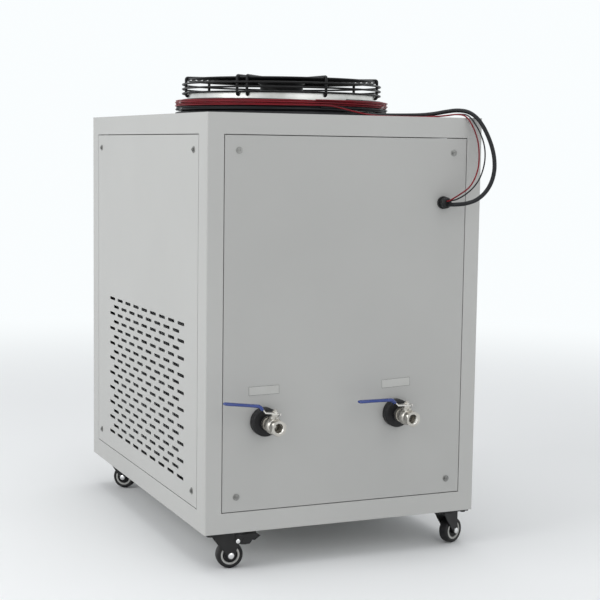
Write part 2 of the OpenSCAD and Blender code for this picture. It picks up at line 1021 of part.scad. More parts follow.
module condenser_tubes() {
  top_z = coil_z(coil_passes - 1);
  color("#b87333")
    both_sides()
      translate([-coil_x, 0, 0]) {
        for (k = [0 : 2 : coil_passes - 2])
          translate([0, fin_y0, coil_z(k) + coil_pitch / 2])
            mirror([0, 1, 0])
              rotate([-90, 0, 0])
                u_bend(coil_pitch / 2, coil_tube_r);
        for (k = [1 : 2 : coil_passes - 3])
          translate([0, fin_y1, coil_z(k) + coil_pitch / 2])
            rotate([-90, 0, 0])
              u_bend(coil_pitch / 2, coil_tube_r);
        tube_along([[0, fin_y1, top_z], [0, header_y, top_z], [0, header_y, hot_z - header_drop]], coil_tube_r);
        tube_along([[0, fin_y1, coil_z(0)], [0, header_y - coil_tube_r, coil_z(0)]], coil_tube_r);
      }
}

module compressor() {
  dome = comp_h - comp_r / 2;
  base_z = z_floor + foot_rubber_h;
  color("#202020") {
    translate([comp_x, comp_y, base_z]) {
      difference() {
        union() {
          translate([-comp_base / 2, -comp_base / 2, 0])
            cube([comp_base, comp_base, comp_base_t]);
          cylinder(r = comp_r, h = dome);
          translate([0, 0, dome])
            intersection() {
              translate([0, 0, -comp_r / 2])
                sphere(r = comp_r * sqrt(5) / 2);
              cylinder(r = comp_r, h = comp_r);
            }
        }
        translate([0, 0, comp_base_t])
          cylinder(r = comp_r - comp_wall, h = dome - comp_wall);
        for (x = [-1, 1])
          for (y = [-1, 1])
            translate([x * (comp_base / 2 - foot_rubber_r), y * (comp_base / 2 - foot_rubber_r), -cut])
              cylinder(r = foot_bolt_r + fit_gap, h = comp_base_t + 2 * cut);
      }
    }
    difference() {
      for (p = [[stub_suction, suction_r], [stub_discharge, line_r]])
        translate([p[0].x, p[0].y, base_z + dome + comp_r / 3])
          cylinder(r = p[1], h = stub_z - base_z - dome - comp_r / 3);
      translate([comp_x, comp_y, base_z + dome - comp_r / 2])
        sphere(r = comp_r * sqrt(5) / 2);
    }
  }
}

module compressor_feet() {
  color("#151515")
    for (x = [-1, 1])
      for (y = [-1, 1])
        translate([
          comp_x + x * (comp_base / 2 - foot_rubber_r),
          comp_y + y * (comp_base / 2 - foot_rubber_r),
          z_floor
        ]) {
          cylinder(r = foot_rubber_r - frame_t, h = foot_rubber_h);
          cylinder(r = foot_bolt_r, h = foot_rubber_h + comp_base_t);
          translate([0, 0, foot_rubber_h + comp_base_t])
            cylinder(r = 2 * foot_bolt_r, h = comp_base_t);
        }
}

module refrigerant_lines() {
  color("#b87333") {
    tube_along([
      [evap_x0, evap_y, evap_top],
      [evap_x0, evap_y, line_z],
      [stub_suction.x, evap_y, line_z],
      [stub_suction.x, stub_suction.y, line_z],
      [stub_suction.x, stub_suction.y, stub_z]
    ], suction_r);
    tube_along([
      [stub_discharge.x, stub_discharge.y, stub_z],
      [stub_discharge.x, stub_discharge.y, hot_z],
      [stub_discharge.x, header_y, hot_z],
      [-coil_x, header_y, hot_z],
      [-coil_x, header_y, hot_z - header_drop]
    ], line_r);
    tube_along([
      [stub_discharge.x, header_y, hot_z],
      [coil_x, header_y, hot_z],
      [coil_x, header_y, hot_z - header_drop]
    ], line_r);
    tube_along([[-coil_x, header_y, coil_z(0)], [coil_x, header_y, coil_z(0)]], liquid_r);
    tube_along([[drier_x, header_y, coil_z(0)], [drier_x, header_y, drier_z0]], liquid_r);
    tube_along([
      [drier_x, header_y, drier_z0 + drier_len],
      [drier_x, header_y, liquid_z],
      [drier_x, evap_y + liquid_shift, liquid_z],
      [evap_riser_x, evap_y + liquid_shift, liquid_z],
      [evap_riser_x, evap_y, liquid_z],
      [evap_riser_x, evap_y, evap_top]
    ], liquid_r);
  }
}

module filter_drier() {
  color("#2b4a2b")
    translate([drier_x, header_y, drier_z0])
      rotate_extrude() {
        square([drier_r - drier_r / 3, drier_len]);
        translate([0, drier_r / 3])
          square([drier_r, drier_len - 2 * drier_r / 3]);
      }
}

// Water side

module water_tank() {
  color("lightsteelblue") {
    difference() {
      translate([tank_x0, tank_y0, z_floor])
        cube([tank_x1 - tank_x0, tank_y1 - tank_y0, tank_h]);
      translate([tank_x0 + tank_wall, tank_y0 + tank_wall, z_floor + tank_wall])
        cube([tank_x1 - tank_x0 - 2 * tank_wall, tank_y1 - tank_y0 - 2 * tank_wall, tank_h]);
      translate([inlet_x - x_side, tank_y0 - cut, valve_z])
        rotate([-90, 0, 0])
          cylinder(r = pipe_bore_r, h = tank_wall + 2 * cut);
      translate([pump_x, tank_y1 - tank_wall - cut, pump_z])
        rotate([-90, 0, 0])
          cylinder(r = pipe_bore_r, h = tank_wall + 2 * cut);
    }
    difference() {
      translate([tank_x0, tank_y0, tank_z1])
        cube([tank_x1 - tank_x0, tank_y1 - tank_y0, tank_wall]);
      for (x = [evap_x0, evap_riser_x])
        translate([x, evap_y, tank_z1 - cut])
          cylinder(r = tube_r + fit_gap, h = tank_wall + 2 * cut);
    }
  }
}

module evaporator_coil() {
  function pass_z(k) = evap_z0 + k * evap_pitch;
  turns = [
    for (k = [0 : evap_passes - 1])
      each [
        [k == 0 ? evap_riser_x : k % 2 == 0 ? evap_x0 : evap_x1, evap_y, pass_z(k)],
        [k % 2 == 0 ? evap_x1 : evap_x0, evap_y, pass_z(k)]
      ]
  ];
  color("#b87333")
    tube_along(concat(
      [[evap_riser_x, evap_y, evap_top]], turns, [[evap_x0, evap_y, evap_top]]
    ), tube_r);
}

module pump_casing() {
  color("#2f4f6f")
    difference() {
      union() {
        translate([pump_x, pump_y0, pump_z])
          rotate([-90, 0, 0])
            cylinder(r = casing_r, h = casing_len);
        translate([pump_x, pump_y0 + casing_len / 2, pump_z])
          cylinder(r = pipe_r + casing_neck_wall, h = casing_r + casing_neck);
      }
      translate([pump_x, pump_y0 + casing_wall, pump_z])
        rotate([-90, 0, 0])
          cylinder(r = casing_r - casing_wall, h = casing_len - 2 * casing_wall);
      translate([pump_x, pump_y0 - cut, pump_z])
        rotate([-90, 0, 0])
          cylinder(r = pipe_bore_r, h = casing_wall + 2 * cut);
      translate([pump_x, pump_y0 + casing_len / 2, pump_z])
        cylinder(r = pipe_bore_r, h = 2 * casing_r);
      translate([pump_x, pump_y0 + casing_len - casing_wall - cut, pump_z])
        rotate([-90, 0, 0])
          cylinder(r = shaft_r + run_gap, h = casing_wall + 2 * cut);
    }
}

module pump_motor() {
  y0 = pump_y0 + casing_len;
  color("#3a5f85")
    difference() {
      union() {
        translate([pump_x, y0, pump_z])
          rotate([-90, 0, 0])
            cylinder(r = pump_motor_r, h = pump_motor_len);
        translate([pump_x - pump_motor_r, y0 + pump_motor_len / 4, z_floor])
          cube([2 * pump_motor_r, pump_motor_len / 2, pump_z - z_floor - pump_motor_r / 2]);
        translate([pump_x - pump_motor_r / 2, y0 + pump_motor_len / 4, pump_z + pump_motor_r / 2])
          cube([pump_motor_r, pump_motor_len / 2, pump_motor_r / 2 + terminal_rise]);
      }
      translate([pump_x, y0 - cut, pump_z])
        rotate([-90, 0, 0])
          cylinder(r = shaft_r + run_gap, h = pump_motor_len / 2 + cut);
    }
}

module pump_impeller() {
  y0 = pump_y0 + casing_wall;
  inner = casing_len - 2 * casing_wall;
  color("peru")
    translate([pump_x, y0, pump_z])
      rotate([-90, 0, 0])
        difference() {
          union() {
            translate([0, 0, inner * 0.7])
              cylinder(r = impeller_r, h = inner * 0.2);
            for (k = [0 : blade_n])
              rotate([0, 0, k * 360 / (blade_n + 1)])
                translate([shaft_r / 2, -blade_t / 2, inner * 0.2])
                  cube([impeller_r - blade_t - shaft_r / 2, blade_t, inner * 0.6]);
            translate([0, 0, inner * 0.1])
              cylinder(r = shaft_r, h = inner * 0.9 + casing_wall + pump_motor_len / 3);
          }
        }
}

module water_pipes() {
  y_valve = y_front - body_back;
  casing_top = pump_z + casing_r + casing_neck;
  color("lightgray") {
    pipe_along([[inlet_x - x_side, y_valve, valve_z], [inlet_x - x_side, tank_y0, valve_z]], pipe_r, pipe_bore_r);
    pipe_along([
      [outlet_x - x_side, y_valve, valve_z],
      [outlet_x - x_side, supply_y, valve_z],
      [outlet_x - x_side, supply_y, supply_z],
      [pump_x, supply_y, supply_z],
      [pump_x, pump_y0 + casing_len / 2, supply_z],
      [pump_x, pump_y0 + casing_len / 2, casing_top]
    ], pipe_r, pipe_bore_r);
    pipe_along([[pump_x, tank_y1, pump_z], [pump_x, pump_y0, pump_z]], pipe_r, pipe_bore_r);
  }
}

// Each valve is drawn in its own frame: the pipe's axis is Y, the face of the panel is y = 0
valve_rolls = [inlet_roll, 0];
valve_xs = [inlet_x - x_side, outlet_x - x_side];

module at_valve(i) {
  translate([valve_xs[i], y_front, valve_z])
    rotate([0, valve_rolls[i], 0])
      children();
}

module wall_collars() {
  lip = collar_t / 4;
  bore = pipe_r + fit_gap;
  color("#151515")
    for (i = [0, 1])
      at_valve(i)
        rotate([90, 0, 0])
          rotate_extrude() {
            translate([bore, 0])
              square([collar_r - bore, collar_t - lip]);
            translate([bore, 0])
              square([collar_r - bore - lip, collar_t]);
            translate([collar_r - lip, collar_t - lip])
              circle(r = lip, $fn = 24);
          }
}

module valve_body() {
  hex_r = hex_af / sqrt(3);
  difference() {
    union() {
      translate([0, -body_back, 0])
        rotate([90, 0, 0])
          cylinder(r = body_r - 1.5, h = hex_len * 0.75);
      translate([0, -body_back, 0])
        rotate([90, 0, 0])
          cylinder(r = body_r - 3, h = mouth_out - body_back - hex_len / 2);
      translate([0, -stem_out, 0])
        sphere(r = body_r + 1);
      intersection() {
        translate([0, -mouth_out + hex_len, 0])
          rotate([90, 30, 0])
            cylinder(r = hex_r, h = hex_len, $fn = 6);
        translate([0, -mouth_out, 0])
          rotate([-90, 0, 0])
            cylinder(r1 = hex_af / 2 + 0.5, r2 = hex_af / 2 + 8, h = hex_len);
      }
      translate([0, -stem_out, 0])
        cylinder(r = bonnet_r, h = bonnet_h);
      translate([0, -stem_out, 0])
        cylinder(r = bonnet_r + 3, h = body_r + 3);
    }
    translate([0, -mouth_out - cut, 0])
      rotate([-90, 0, 0])
        cylinder(r = thread_r, h = thread_len + cut);
    translate([0, -mouth_out, 0])
      rotate([-90, 0, 0])
        cylinder(r = port_r, h = mouth_out - body_back + cut);
    translate([0, -stem_out, 0])
      sphere(r = ball_r + seat_gap);
    translate([0, -stem_out, 0])
      cylinder(r = stem_r + run_gap, h = bonnet_h + cut);
  }
}

module valve_bodies() {
  color("silver")
    for (i = [0, 1])
      at_valve(i)
        valve_body();
}

// At rest the handle lies across the pipe, so the ball's port does too and the valve is shut
module valve_ball() {
  tang_z = ball_r - 3;
  translate([0, -stem_out, 0]) {
    difference() {
      sphere(r = ball_r);
      translate([-ball_r, 0, 0])
        rotate([0, 90, 0])
          cylinder(r = port_r, h = 2 * ball_r);
      translate([-ball_r, -tang_w / 2, tang_z - seat_gap])
        cube([2 * ball_r, tang_w, ball_r]);
    }
    intersection() {
      cylinder(r = stem_r, h = stem_top);
      union() {
        translate([-stem_r, -tang_w / 2 + seat_gap / 2, tang_z])
          cube([2 * stem_r, tang_w - seat_gap, ball_r]);
        translate([-stem_r, -stem_r, ball_r + seat_gap])
          cube([2 * stem_r, 2 * stem_r, stem_top]);
      }
    }
  }
}

handle_z0 = bonnet_h + seat_gap;
handle_z1 = handle_z0 + handle_rise;

// The handle's bent strip, w wide and t thick
module bent_strip(w, t) {
  knee = handle_flat + handle_slope;
  bend_shift = t * tan(22.5);
  rotate([90, 0, 0])
    translate([0, 0, -w / 2])
      linear_extrude(w)
        polygon([
          [handle_w, handle_z0],
          [-handle_flat, handle_z0],
          [-knee, handle_z1],
          [-handle_len + grip_t / 2, handle_z1],
          [-handle_len + grip_t / 2, handle_z1 + t],
          [-knee + bend_shift, handle_z1 + t],
          [-handle_flat + bend_shift, handle_z0 + t],
          [handle_w, handle_z0 + t]
        ]);
}

module valve_handle() {
  hub = handle_w * 0.8;
  translate([0, -stem_out, 0])
    difference() {
      union() {
        intersection() {
          bent_strip(2 * hub, handle_t);
          translate([0, 0, handle_z0 - cut])
            linear_extrude(handle_rise + handle_t + 2 * cut) {
              circle(r = hub);
              translate([-handle_len, -handle_w / 2])
                square([handle_len, handle_w]);
              translate([0, -handle_w / 4])
                square([handle_w, handle_w / 2]);
            }
        }
        translate([handle_w - handle_t, -handle_w / 4, handle_z0 - handle_t])
          cube([handle_t, handle_w / 2, handle_t * 1.5]);
        translate([0, 0, handle_z0 + handle_t / 2])
          cylinder(r = nut_af / sqrt(3), h = nut_h + handle_t / 2, $fn = 6);
      }
      translate([0, 0, handle_z0 - cut])
        cylinder(r = stem_r + run_gap / 5, h = stem_top);
    }
}

module grip_bar(a, b) {
  hull()
    for (p = [a, b])
      translate([p.x, 0, p.y])
        for (s = [-1, 1])
          translate([0, s * (grip_w - grip_t) / 2, 0])
            sphere(r = grip_t / 2, $fn = 20);
}

module valve_sleeve() {
  mid = handle_t / 2;
  low = [-handle_flat - handle_slope * 0.45, handle_z0 + handle_rise * 0.45 + mid];
  knee = [-handle_flat - handle_slope, handle_z1 + mid];
  tip = [-handle_len + grip_t / 2, handle_z1 + mid];
  translate([0, -stem_out, 0])
    difference() {
      union() {
        grip_bar(low, knee);
        grip_bar(knee, tip);
      }
      bent_strip(handle_w, handle_t);
    }
}

module inlet_ball() {
  color("silver")
    at_valve(0)
      valve_ball();
}

module outlet_ball() {
  color("silver")
    at_valve(1)
      valve_ball();
}

module inlet_handle() {
  color("silver")
    at_valve(0)
      valve_handle();
}

module outlet_handle() {
  color("silver")
    at_valve(1)
      valve_handle();
}

module inlet_sleeve() {
  color("royalblue")
    at_valve(0)
      valve_sleeve();
}

module outlet_sleeve() {
  color("royalblue")
    at_valve(1)
      valve_sleeve();
}

module label_plates() {
  color("silver")
    for (i = [0, 1])
      translate([valve_xs[i], y_front, valve_z + label_lift])
        rotate([0, -label_tilts[i], 0])
          translate([-label_w / 2, -label_t, -label_h / 2])
            cube([label_w, label_t, label_h]);
}

module cable_gland() {
  dome = gland_r - 2;
  color("#151515")
    translate([gland_x, y_front, gland_z])
      rotate([90, 0, 0]) {
        cylinder(r = gland_r, h = gland_flange_t);
        cylinder(r = gland_nut_af / 2 - 3, h = gland_flange_t + 3);
        intersection() {
          cylinder(r = dome, h = gland_reach);
          translate([0, 0, gland_reach - dome])
            sphere(r = dome + 2.5);
        }
        translate([0, 0, -panel_t - gland_nut_t - 4])
          cylinder(r = gland_thread_r, h = panel_t + gland_nut_t + 5);
        translate([0, 0, -panel_t - gland_nut_t])
          cylinder(r = gland_nut_af / sqrt(3), h = gland_nut_t, $fn = 6);
      }
}

// Casters. Each is drawn in its own frame: Z is the swivel axis, z = 0 the cabinet's bottom and
// the wheel trails towards +X.

function caster_place(i) = [
  (i % 2 == 0 ? -1 : 1) * (x_side - caster_in_x),
  i < 2 ? y_front + caster_front_in_y : y_rear - caster_rear_in_y,
  z_bottom
];
caster_turns = [turn_front_left, turn_front_right, turn_rear_left, turn_rear_right];

module at_caster(i) {
  translate(caster_place(i))
    rotate([0, 0, caster_turns[i]])
      children();
}

fork_z = -caster_plate_t - race_h - seat_gap;
cheek_y = wheel_w / 2 + fork_gap;
king_z = fork_z - fork_t - seat_gap;

module caster_plates() {
  color("#1a1a1a")
    for (i = [0 : 3])
      translate(caster_place(i)) {
        translate([-caster_plate_x / 2, -caster_plate_y / 2, -caster_plate_t])
          cube([caster_plate_x, caster_plate_y, caster_plate_t]);
        translate([0, 0, -caster_plate_t - race_h])
          cylinder(r = race_r, h = race_h);
        translate([0, 0, king_z])
          cylinder(r = king_r, h = -king_z - caster_plate_t);
        translate([0, 0, king_z - 3])
          cylinder(r = king_head_r, h = 3);
        for (x = [-1, 1])
          for (y = [-1, 1])
            translate([x * bolt_pitch_x / 2, y * bolt_pitch_y / 2, -caster_plate_t - bolt_head_h])
              cylinder(r = bolt_head_r, h = bolt_head_h);
      }
}

// Outline of a fork cheek: u along the trail, v up
cheek_back_share = 0.9;
module cheek_outline(braked) {
  back = -race_r * cheek_back_share;
  front = braked ? pivot_u + rivet_head_r : race_r;
  polygon([
    [back, fork_z],
    [front, fork_z],
    [front, pivot_z - rivet_head_r],
    [trail + boss_r, wheel_z],
    [trail - boss_r, wheel_z],
    [back / 2, (fork_z + wheel_z) / 2.4]
  ]);
  translate([trail, wheel_z])
    circle(r = boss_r);
}

module upright(y, t) {
  translate([0, y + t, 0])
    rotate([90, 0, 0])
      linear_extrude(t)
        children();
}

module caster_fork(i, braked) {
  color("#1a1a1a")
    at_caster(i) {
      difference() {
        union() {
          translate([0, 0, fork_z - fork_t])
            intersection() {
              union() {
                cylinder(r = race_r, h = fork_t);
                translate([-race_r * cheek_back_share, -cheek_y - fork_t, 0])
                  cube([(braked ? pivot_u + rivet_head_r : race_r) + race_r * cheek_back_share, 2 * (cheek_y + fork_t), fork_t]);
              }
              translate([-2 * race_r, -cheek_y - fork_t, 0])
                cube([4 * race_r, 2 * (cheek_y + fork_t), fork_t]);
            }
          for (y = [-cheek_y - fork_t, cheek_y])
            upright(y, fork_t)
              cheek_outline(braked);
        }
        translate([0, 0, fork_z - fork_t - cut])
          cylinder(r = king_r + run_gap, h = fork_t + 2 * cut);
        translate([trail, -2 * wheel_w, wheel_z])
          rotate([-90, 0, 0])
            cylinder(r = axle_r + run_gap, h = 4 * wheel_w);
        if (braked)
          translate([pivot_u, -2 * wheel_w, pivot_z])
            rotate([-90, 0, 0])
              cylinder(r = rivet_r + run_gap, h = 4 * wheel_w);
      }
      translate([trail, 0, wheel_z])
        rotate([90, 0, 0]) {
          cylinder(r = axle_r, h = 2 * (cheek_y + fork_t) + 0.2, center = true);
          for (s = [-1, 1])
            translate([0, 0, s * (cheek_y + fork_t + 0.1 + axle_head_h / 2)])
              cylinder(r = axle_head_r, h = axle_head_h, center = true);
        }
      if (braked)
        translate([pivot_u, 0, pivot_z])
          rotate([90, 0, 0]) {
            cylinder(r = rivet_r, h = 2 * (cheek_y + fork_t + pedal_wall + 2 * seat_gap), center = true);
            for (s = [-1, 1])
              translate([0, 0, s * (cheek_y + fork_t + pedal_wall + 2 * seat_gap + rivet_head_h / 2)])
                cylinder(r = rivet_head_r, h = rivet_head_h, center = true);
          }
    }
}

module caster_wheel(i) {
  color("#111111")
    at_caster(i)
      translate([trail, 0, wheel_z])
        rotate([90, 0, 0]) {
          difference() {
            union() {
              cylinder(r = wheel_r, h = wheel_w - 2 * fork_gap, center = true);
              cylinder(r = wheel_r - fork_gap, h = wheel_w, center = true);
            }
            cylinder(r = hub_r, h = 2 * wheel_w, center = true);
          }
          difference() {
            cylinder(r = hub_r, h = wheel_w - fork_gap / 2, center = true);
            cylinder(r = axle_r + run_gap, h = 2 * wheel_w, center = true);
            for (s = [-1, 1])
              translate([0, 0, s * wheel_w / 2])
                difference() {
                  cylinder(r = hub_r - hub_rim_w, h = wheel_w / 3, center = true);
                  cylinder(r = boss_r, h = wheel_w, center = true);
                }
          }
        }
}

pedal_wall = 2;
pedal_y = cheek_y + fork_t + seat_gap;

module pedal_outline() {
  top = fork_z - fork_t / 2;
  polygon([
    [pivot_u - rivet_head_r, pivot_z],
    [pivot_u - rivet_head_r, top],
    [pedal_tip_u - 8, top],
    [pedal_tip_u, top - 5],
    [pedal_tip_u - 14, pivot_z],
    [pedal_tip_u - 20, pivot_z + 1],
    [pedal_tip_u - 26, pivot_z - 8],
    [pedal_rivet_u, pivot_z - 9],
    [pivot_u + 6, pivot_z - 8]
  ]);
  translate([pivot_u, pivot_z])
    circle(r = rivet_head_r + 2);
}

module brake_pedal(i) {
  top = fork_z - fork_t / 2;
  color("#1a1a1a")
    at_caster(i) {
      difference() {
        union() {
          for (y = [-pedal_y - pedal_wall, pedal_y])
            upright(y, pedal_wall)
              pedal_outline();
          translate([pivot_u + rivet_head_r + 2, -pedal_y - pedal_wall, top - pedal_wall])
            cube([pedal_tip_u - 8 - pivot_u - rivet_head_r - 2, 2 * (pedal_y + pedal_wall), pedal_wall]);
        }
        translate([pivot_u, -2 * wheel_w, pivot_z])
          rotate([-90, 0, 0])
            cylinder(r = rivet_r + run_gap, h = 4 * wheel_w);
      }
      translate([pedal_rivet_u, 0, pivot_z + 1])
        rotate([90, 0, 0])
          for (s = [-1, 1])
            translate([0, 0, s * (pedal_y + pedal_wall + rivet_head_h / 2)])
              cylinder(r = rivet_head_r, h = rivet_head_h, center = true);
    }
}

// Cables and wires

function unit(v) = v / norm(v);

function heading(points, i) = unit(
  points[min(i + 1, len(points) - 1)] - points[max(i - 1, 0)]
);

function side_of(d) = unit(cross(d, [0, 0, 1]) + [0, 0.0001, 0]);

function ring_at(p, d, r, sides) = let (s = side_of(d), u = cross(s, d)) [
  for (j = [0 : sides - 1])
    p + r * (cos(360 * j / sides) * s + sin(360 * j / sides) * u)
];

module swept_tube(points, r, sides) {
  n = len(points);
  verts = [for (i = [0 : n - 1]) each ring_at(points[i], heading(points, i), r, sides)];
  walls = [
    for (i = [0 : n - 2])
      for (j = [0 : sides - 1])
        let (a = i * sides + j, b = i * sides + (j + 1) % sides)
          each [[a, b, b + sides], [a, b + sides, a + sides]]
  ];
  first = [for (j = [1 : sides - 2]) [0, j + 1, j]];
  last = [for (j = [1 : sides - 2]) [(n - 1) * sides, (n - 1) * sides + j, (n - 1) * sides + j + 1]];
  polyhedron(verts, concat(walls, first, last));
}

// A piled coil round the fan. turns lists the turns of each layer; odd layers wind inwards and even ones
// outwards, and the tube climbs a layer in the half turn where it reverses. The first layer starts at
// out_r and every later one runs between the inner radius and one step outside it.
function sum(v, n) = n == 0 ? 0 : v[n - 1] + sum(v, n - 1);

function layer_of(t, turns, i = 0) = i == len(turns) - 1 || t < sum(turns, i + 1) ? i : layer_of(t, turns, i + 1);

function pile_r(t, turns, in_r, step) = let (i = layer_of(t, turns), s = t - sum(turns, i))
  i % 2 == 0 ? in_r + (turns[i] - s) * step : in_r + s * step;

function ramp(x) = x < -0.25 ? 0 : x > 0.25 ? 1 : (1 + sin(360 * x)) / 2;

function pile_z(t, turns, step, i = 1) = i >= len(turns) ? 0
  : ramp(t - sum(turns, i)) * step + pile_z(t, turns, step, i + 1);

function pile_point(t, turns, in_r, step, start, lift) = let (r = pile_r(t, turns, in_r, step), a = start - 360 * t)
  [r * cos(a), fan_y + r * sin(a), z_top + lift + pile_z(t, turns, step)];

function pile_path(turns, in_r, step, start, lift, lead) = let (
  total = sum(turns, len(turns)),
  n = round(total * loop_rings),
  body = [for (k = [0 : n]) pile_point(total * k / n, turns, in_r, step, start, lift)]
) concat([body[0]], [for (k = [1 : n - 1]) body[k]], [body[n], body[n] + lead * unit(body[n] - body[n - 1])]);

power_turns = [2, 1, 1, 1];
red_turns = [1, 1, 1, 1];
black_turns = [1, 1];
power_path = pile_path(power_turns, coil_in_r, coil_step, power_start, rest_gap + cable_d / 2, cable_d);
red_path = pile_path(red_turns, wire_in_r, wire_step, red_start, red_lift, wire_d);
black_path = pile_path(black_turns, wire_in_r, wire_step, black_start, black_lift, wire_d);

// Least distance between parts of a coil that are more than half a turn apart, less the tube's diameter
function self_gap(path, d) = min([
  for (i = [0 : len(path) - 1])
    for (j = [i + floor(loop_rings / 2) : len(path) - 1])
      if (j < len(path))
        norm(path[i] - path[j])
]) - d;

module power_cable() {
  color("#151515")
    swept_tube(power_route, cable_d / 2, tube_sides);
}

module power_coil() {
  echo(power_coil_gap = self_gap(power_path, cable_d));
  color("#151515")
    swept_tube(power_path, cable_d / 2, loop_sides);
}

module red_wire() {
  color("#8a1020")
    swept_tube(red_route, wire_d / 2, tube_sides);
}

module red_coil() {
  echo(red_coil_gap = self_gap(red_path, wire_d));
  color("#8a1020")
    swept_tube(red_path, wire_d / 2, loop_sides);
}

module black_wire() {
  color("#151515")
    swept_tube(black_route, wire_d / 2, tube_sides);
}

module black_coil() {
  echo(black_coil_gap = self_gap(black_path, wire_d));
  color("#151515")
    swept_tube(black_path, wire_d / 2, loop_sides);
}

base_tray();
corner_posts();
top_frame();
top_panel();
connection_panel();
left_side_panel();
right_side_panel();
service_panel();
panel_screws();
control_door();
door_hinges();
door_latch();
controller();
lamps();
start_button();
stop_button();
fan_ring();
fan_guard();
fan_motor();
fan_rotor();
condenser_fins();
condenser_tubes();
compressor();
compressor_feet();
refrigerant_lines();
filter_drier();
water_tank();
evaporator_coil();
pump_casing();
pump_motor();
pump_impeller();
water_pipes();
electrical_plate();
wall_collars();
valve_bodies();
inlet_ball();
inlet_handle();
inlet_sleeve();
outlet_ball();
outlet_handle();
outlet_sleeve();
label_plates();
cable_gland();
caster_plates();
caster_fork(0, true);  // fork_front_left
caster_fork(1, false);  // fork_front_right
caster_fork(2, false);  // fork_rear_left
caster_fork(3, true);  // fork_rear_right
caster_wheel(0);  // wheel_front_left
caster_wheel(1);  // wheel_front_right
caster_wheel(2);  // wheel_rear_left
caster_wheel(3);  // wheel_rear_right
brake_pedal(0);  // pedal_front_left
brake_pedal(3);  // pedal_rear_right
power_cable();
power_coil();
red_wire();
red_coil();
black_wire();
black_coil();
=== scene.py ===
"""Air-cooled chiller: its cables, the finish of its surfaces and its finer pieces."""

import math

import bmesh
import bpy
from mathutils import Matrix, Vector


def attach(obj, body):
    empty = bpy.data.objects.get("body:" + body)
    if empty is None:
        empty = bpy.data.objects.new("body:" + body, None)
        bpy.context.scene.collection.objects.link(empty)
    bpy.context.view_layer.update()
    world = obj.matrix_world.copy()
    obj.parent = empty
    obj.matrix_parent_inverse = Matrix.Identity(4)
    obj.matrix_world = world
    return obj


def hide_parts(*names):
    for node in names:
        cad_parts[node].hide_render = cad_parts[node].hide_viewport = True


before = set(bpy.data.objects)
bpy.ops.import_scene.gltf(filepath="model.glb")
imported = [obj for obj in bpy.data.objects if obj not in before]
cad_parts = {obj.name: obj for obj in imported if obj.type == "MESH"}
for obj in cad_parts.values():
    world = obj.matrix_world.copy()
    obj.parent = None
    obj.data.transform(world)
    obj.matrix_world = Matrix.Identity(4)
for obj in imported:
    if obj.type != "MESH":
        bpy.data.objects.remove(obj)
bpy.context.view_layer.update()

# The frame's own places and sizes, in metres and degrees
TOP_Z = 1.050
FACE_Y = -0.445
FAN = Vector((0, -0.027, TOP_Z))
RING_R = 0.242
VALVE_XS = {"inlet": -0.208, "outlet": 0.131}
VALVE_ROLLS = {"inlet": 7.0, "outlet": 0.0}
VALVE_Z = 0.347
STEM_OUT = 0.060
MOUTH_OUT = 0.095
# Each caster's swivel axis in x and y, and the turn it rests at
CASTERS = {
    "front_left": (-0.297, -0.408, -5),
    "front_right": (0.297, -0.408, 22),
    "rear_left": (-0.297, 0.440, -40),
    "rear_right": (0.297, 0.440, 140),
}
BRAKED = ("front_left", "rear_right")


# Shared by the sections below


def linked(name, data):
    """A new object of the data, in the scene."""
    thing = bpy.data.objects.new(name, data)
    bpy.context.collection.objects.link(thing)
    return thing


def tube(name, paths, radius, resolution):
    """Round wires along open paths, as one curve object."""
    data = bpy.data.curves.new(name, "CURVE")
    data.dimensions = "3D"
    data.bevel_depth = radius
    data.bevel_resolution = resolution
    data.use_fill_caps = True
    for path in paths:
        spline = data.splines.new("POLY")
        spline.points.add(len(path) - 1)
        for point, place in zip(spline.points, path):
            point.co = (*place, 1)
    return linked(name, data)


# Camera

CAMERA_PLACE = (-1.414, -3.433, 0.975)
CAMERA_TURNS = (23.40, -6.14, 0.80)
LENS_MM = 85.27
SENSOR_MM = 36
FAR_CLIP = 60


def place_camera():
    """The photograph's view: yaw to the right of +Y, then pitch and roll, in degrees."""
    yaw, pitch, roll = (math.radians(a) for a in CAMERA_TURNS)
    ahead = Vector(
        (math.sin(yaw) * math.cos(pitch), math.cos(yaw) * math.cos(pitch), math.sin(pitch))
    )
    level = Vector((math.cos(yaw), -math.sin(yaw), 0))
    upright = level.cross(ahead)
    right = level * math.cos(roll) + upright * math.sin(roll)
    up = upright * math.cos(roll) - level * math.sin(roll)
    data = bpy.data.cameras.new("camera")
    data.lens = LENS_MM
    data.sensor_width = SENSOR_MM
    data.clip_end = FAR_CLIP
    camera = linked("camera", data)
    turn = Matrix((right, up, -ahead)).transposed().to_4x4()
    camera.matrix_world = Matrix.Translation(CAMERA_PLACE) @ turn
    bpy.context.scene.camera = camera


place_camera()


# Cables. The route points are those of the part's source, in metres.

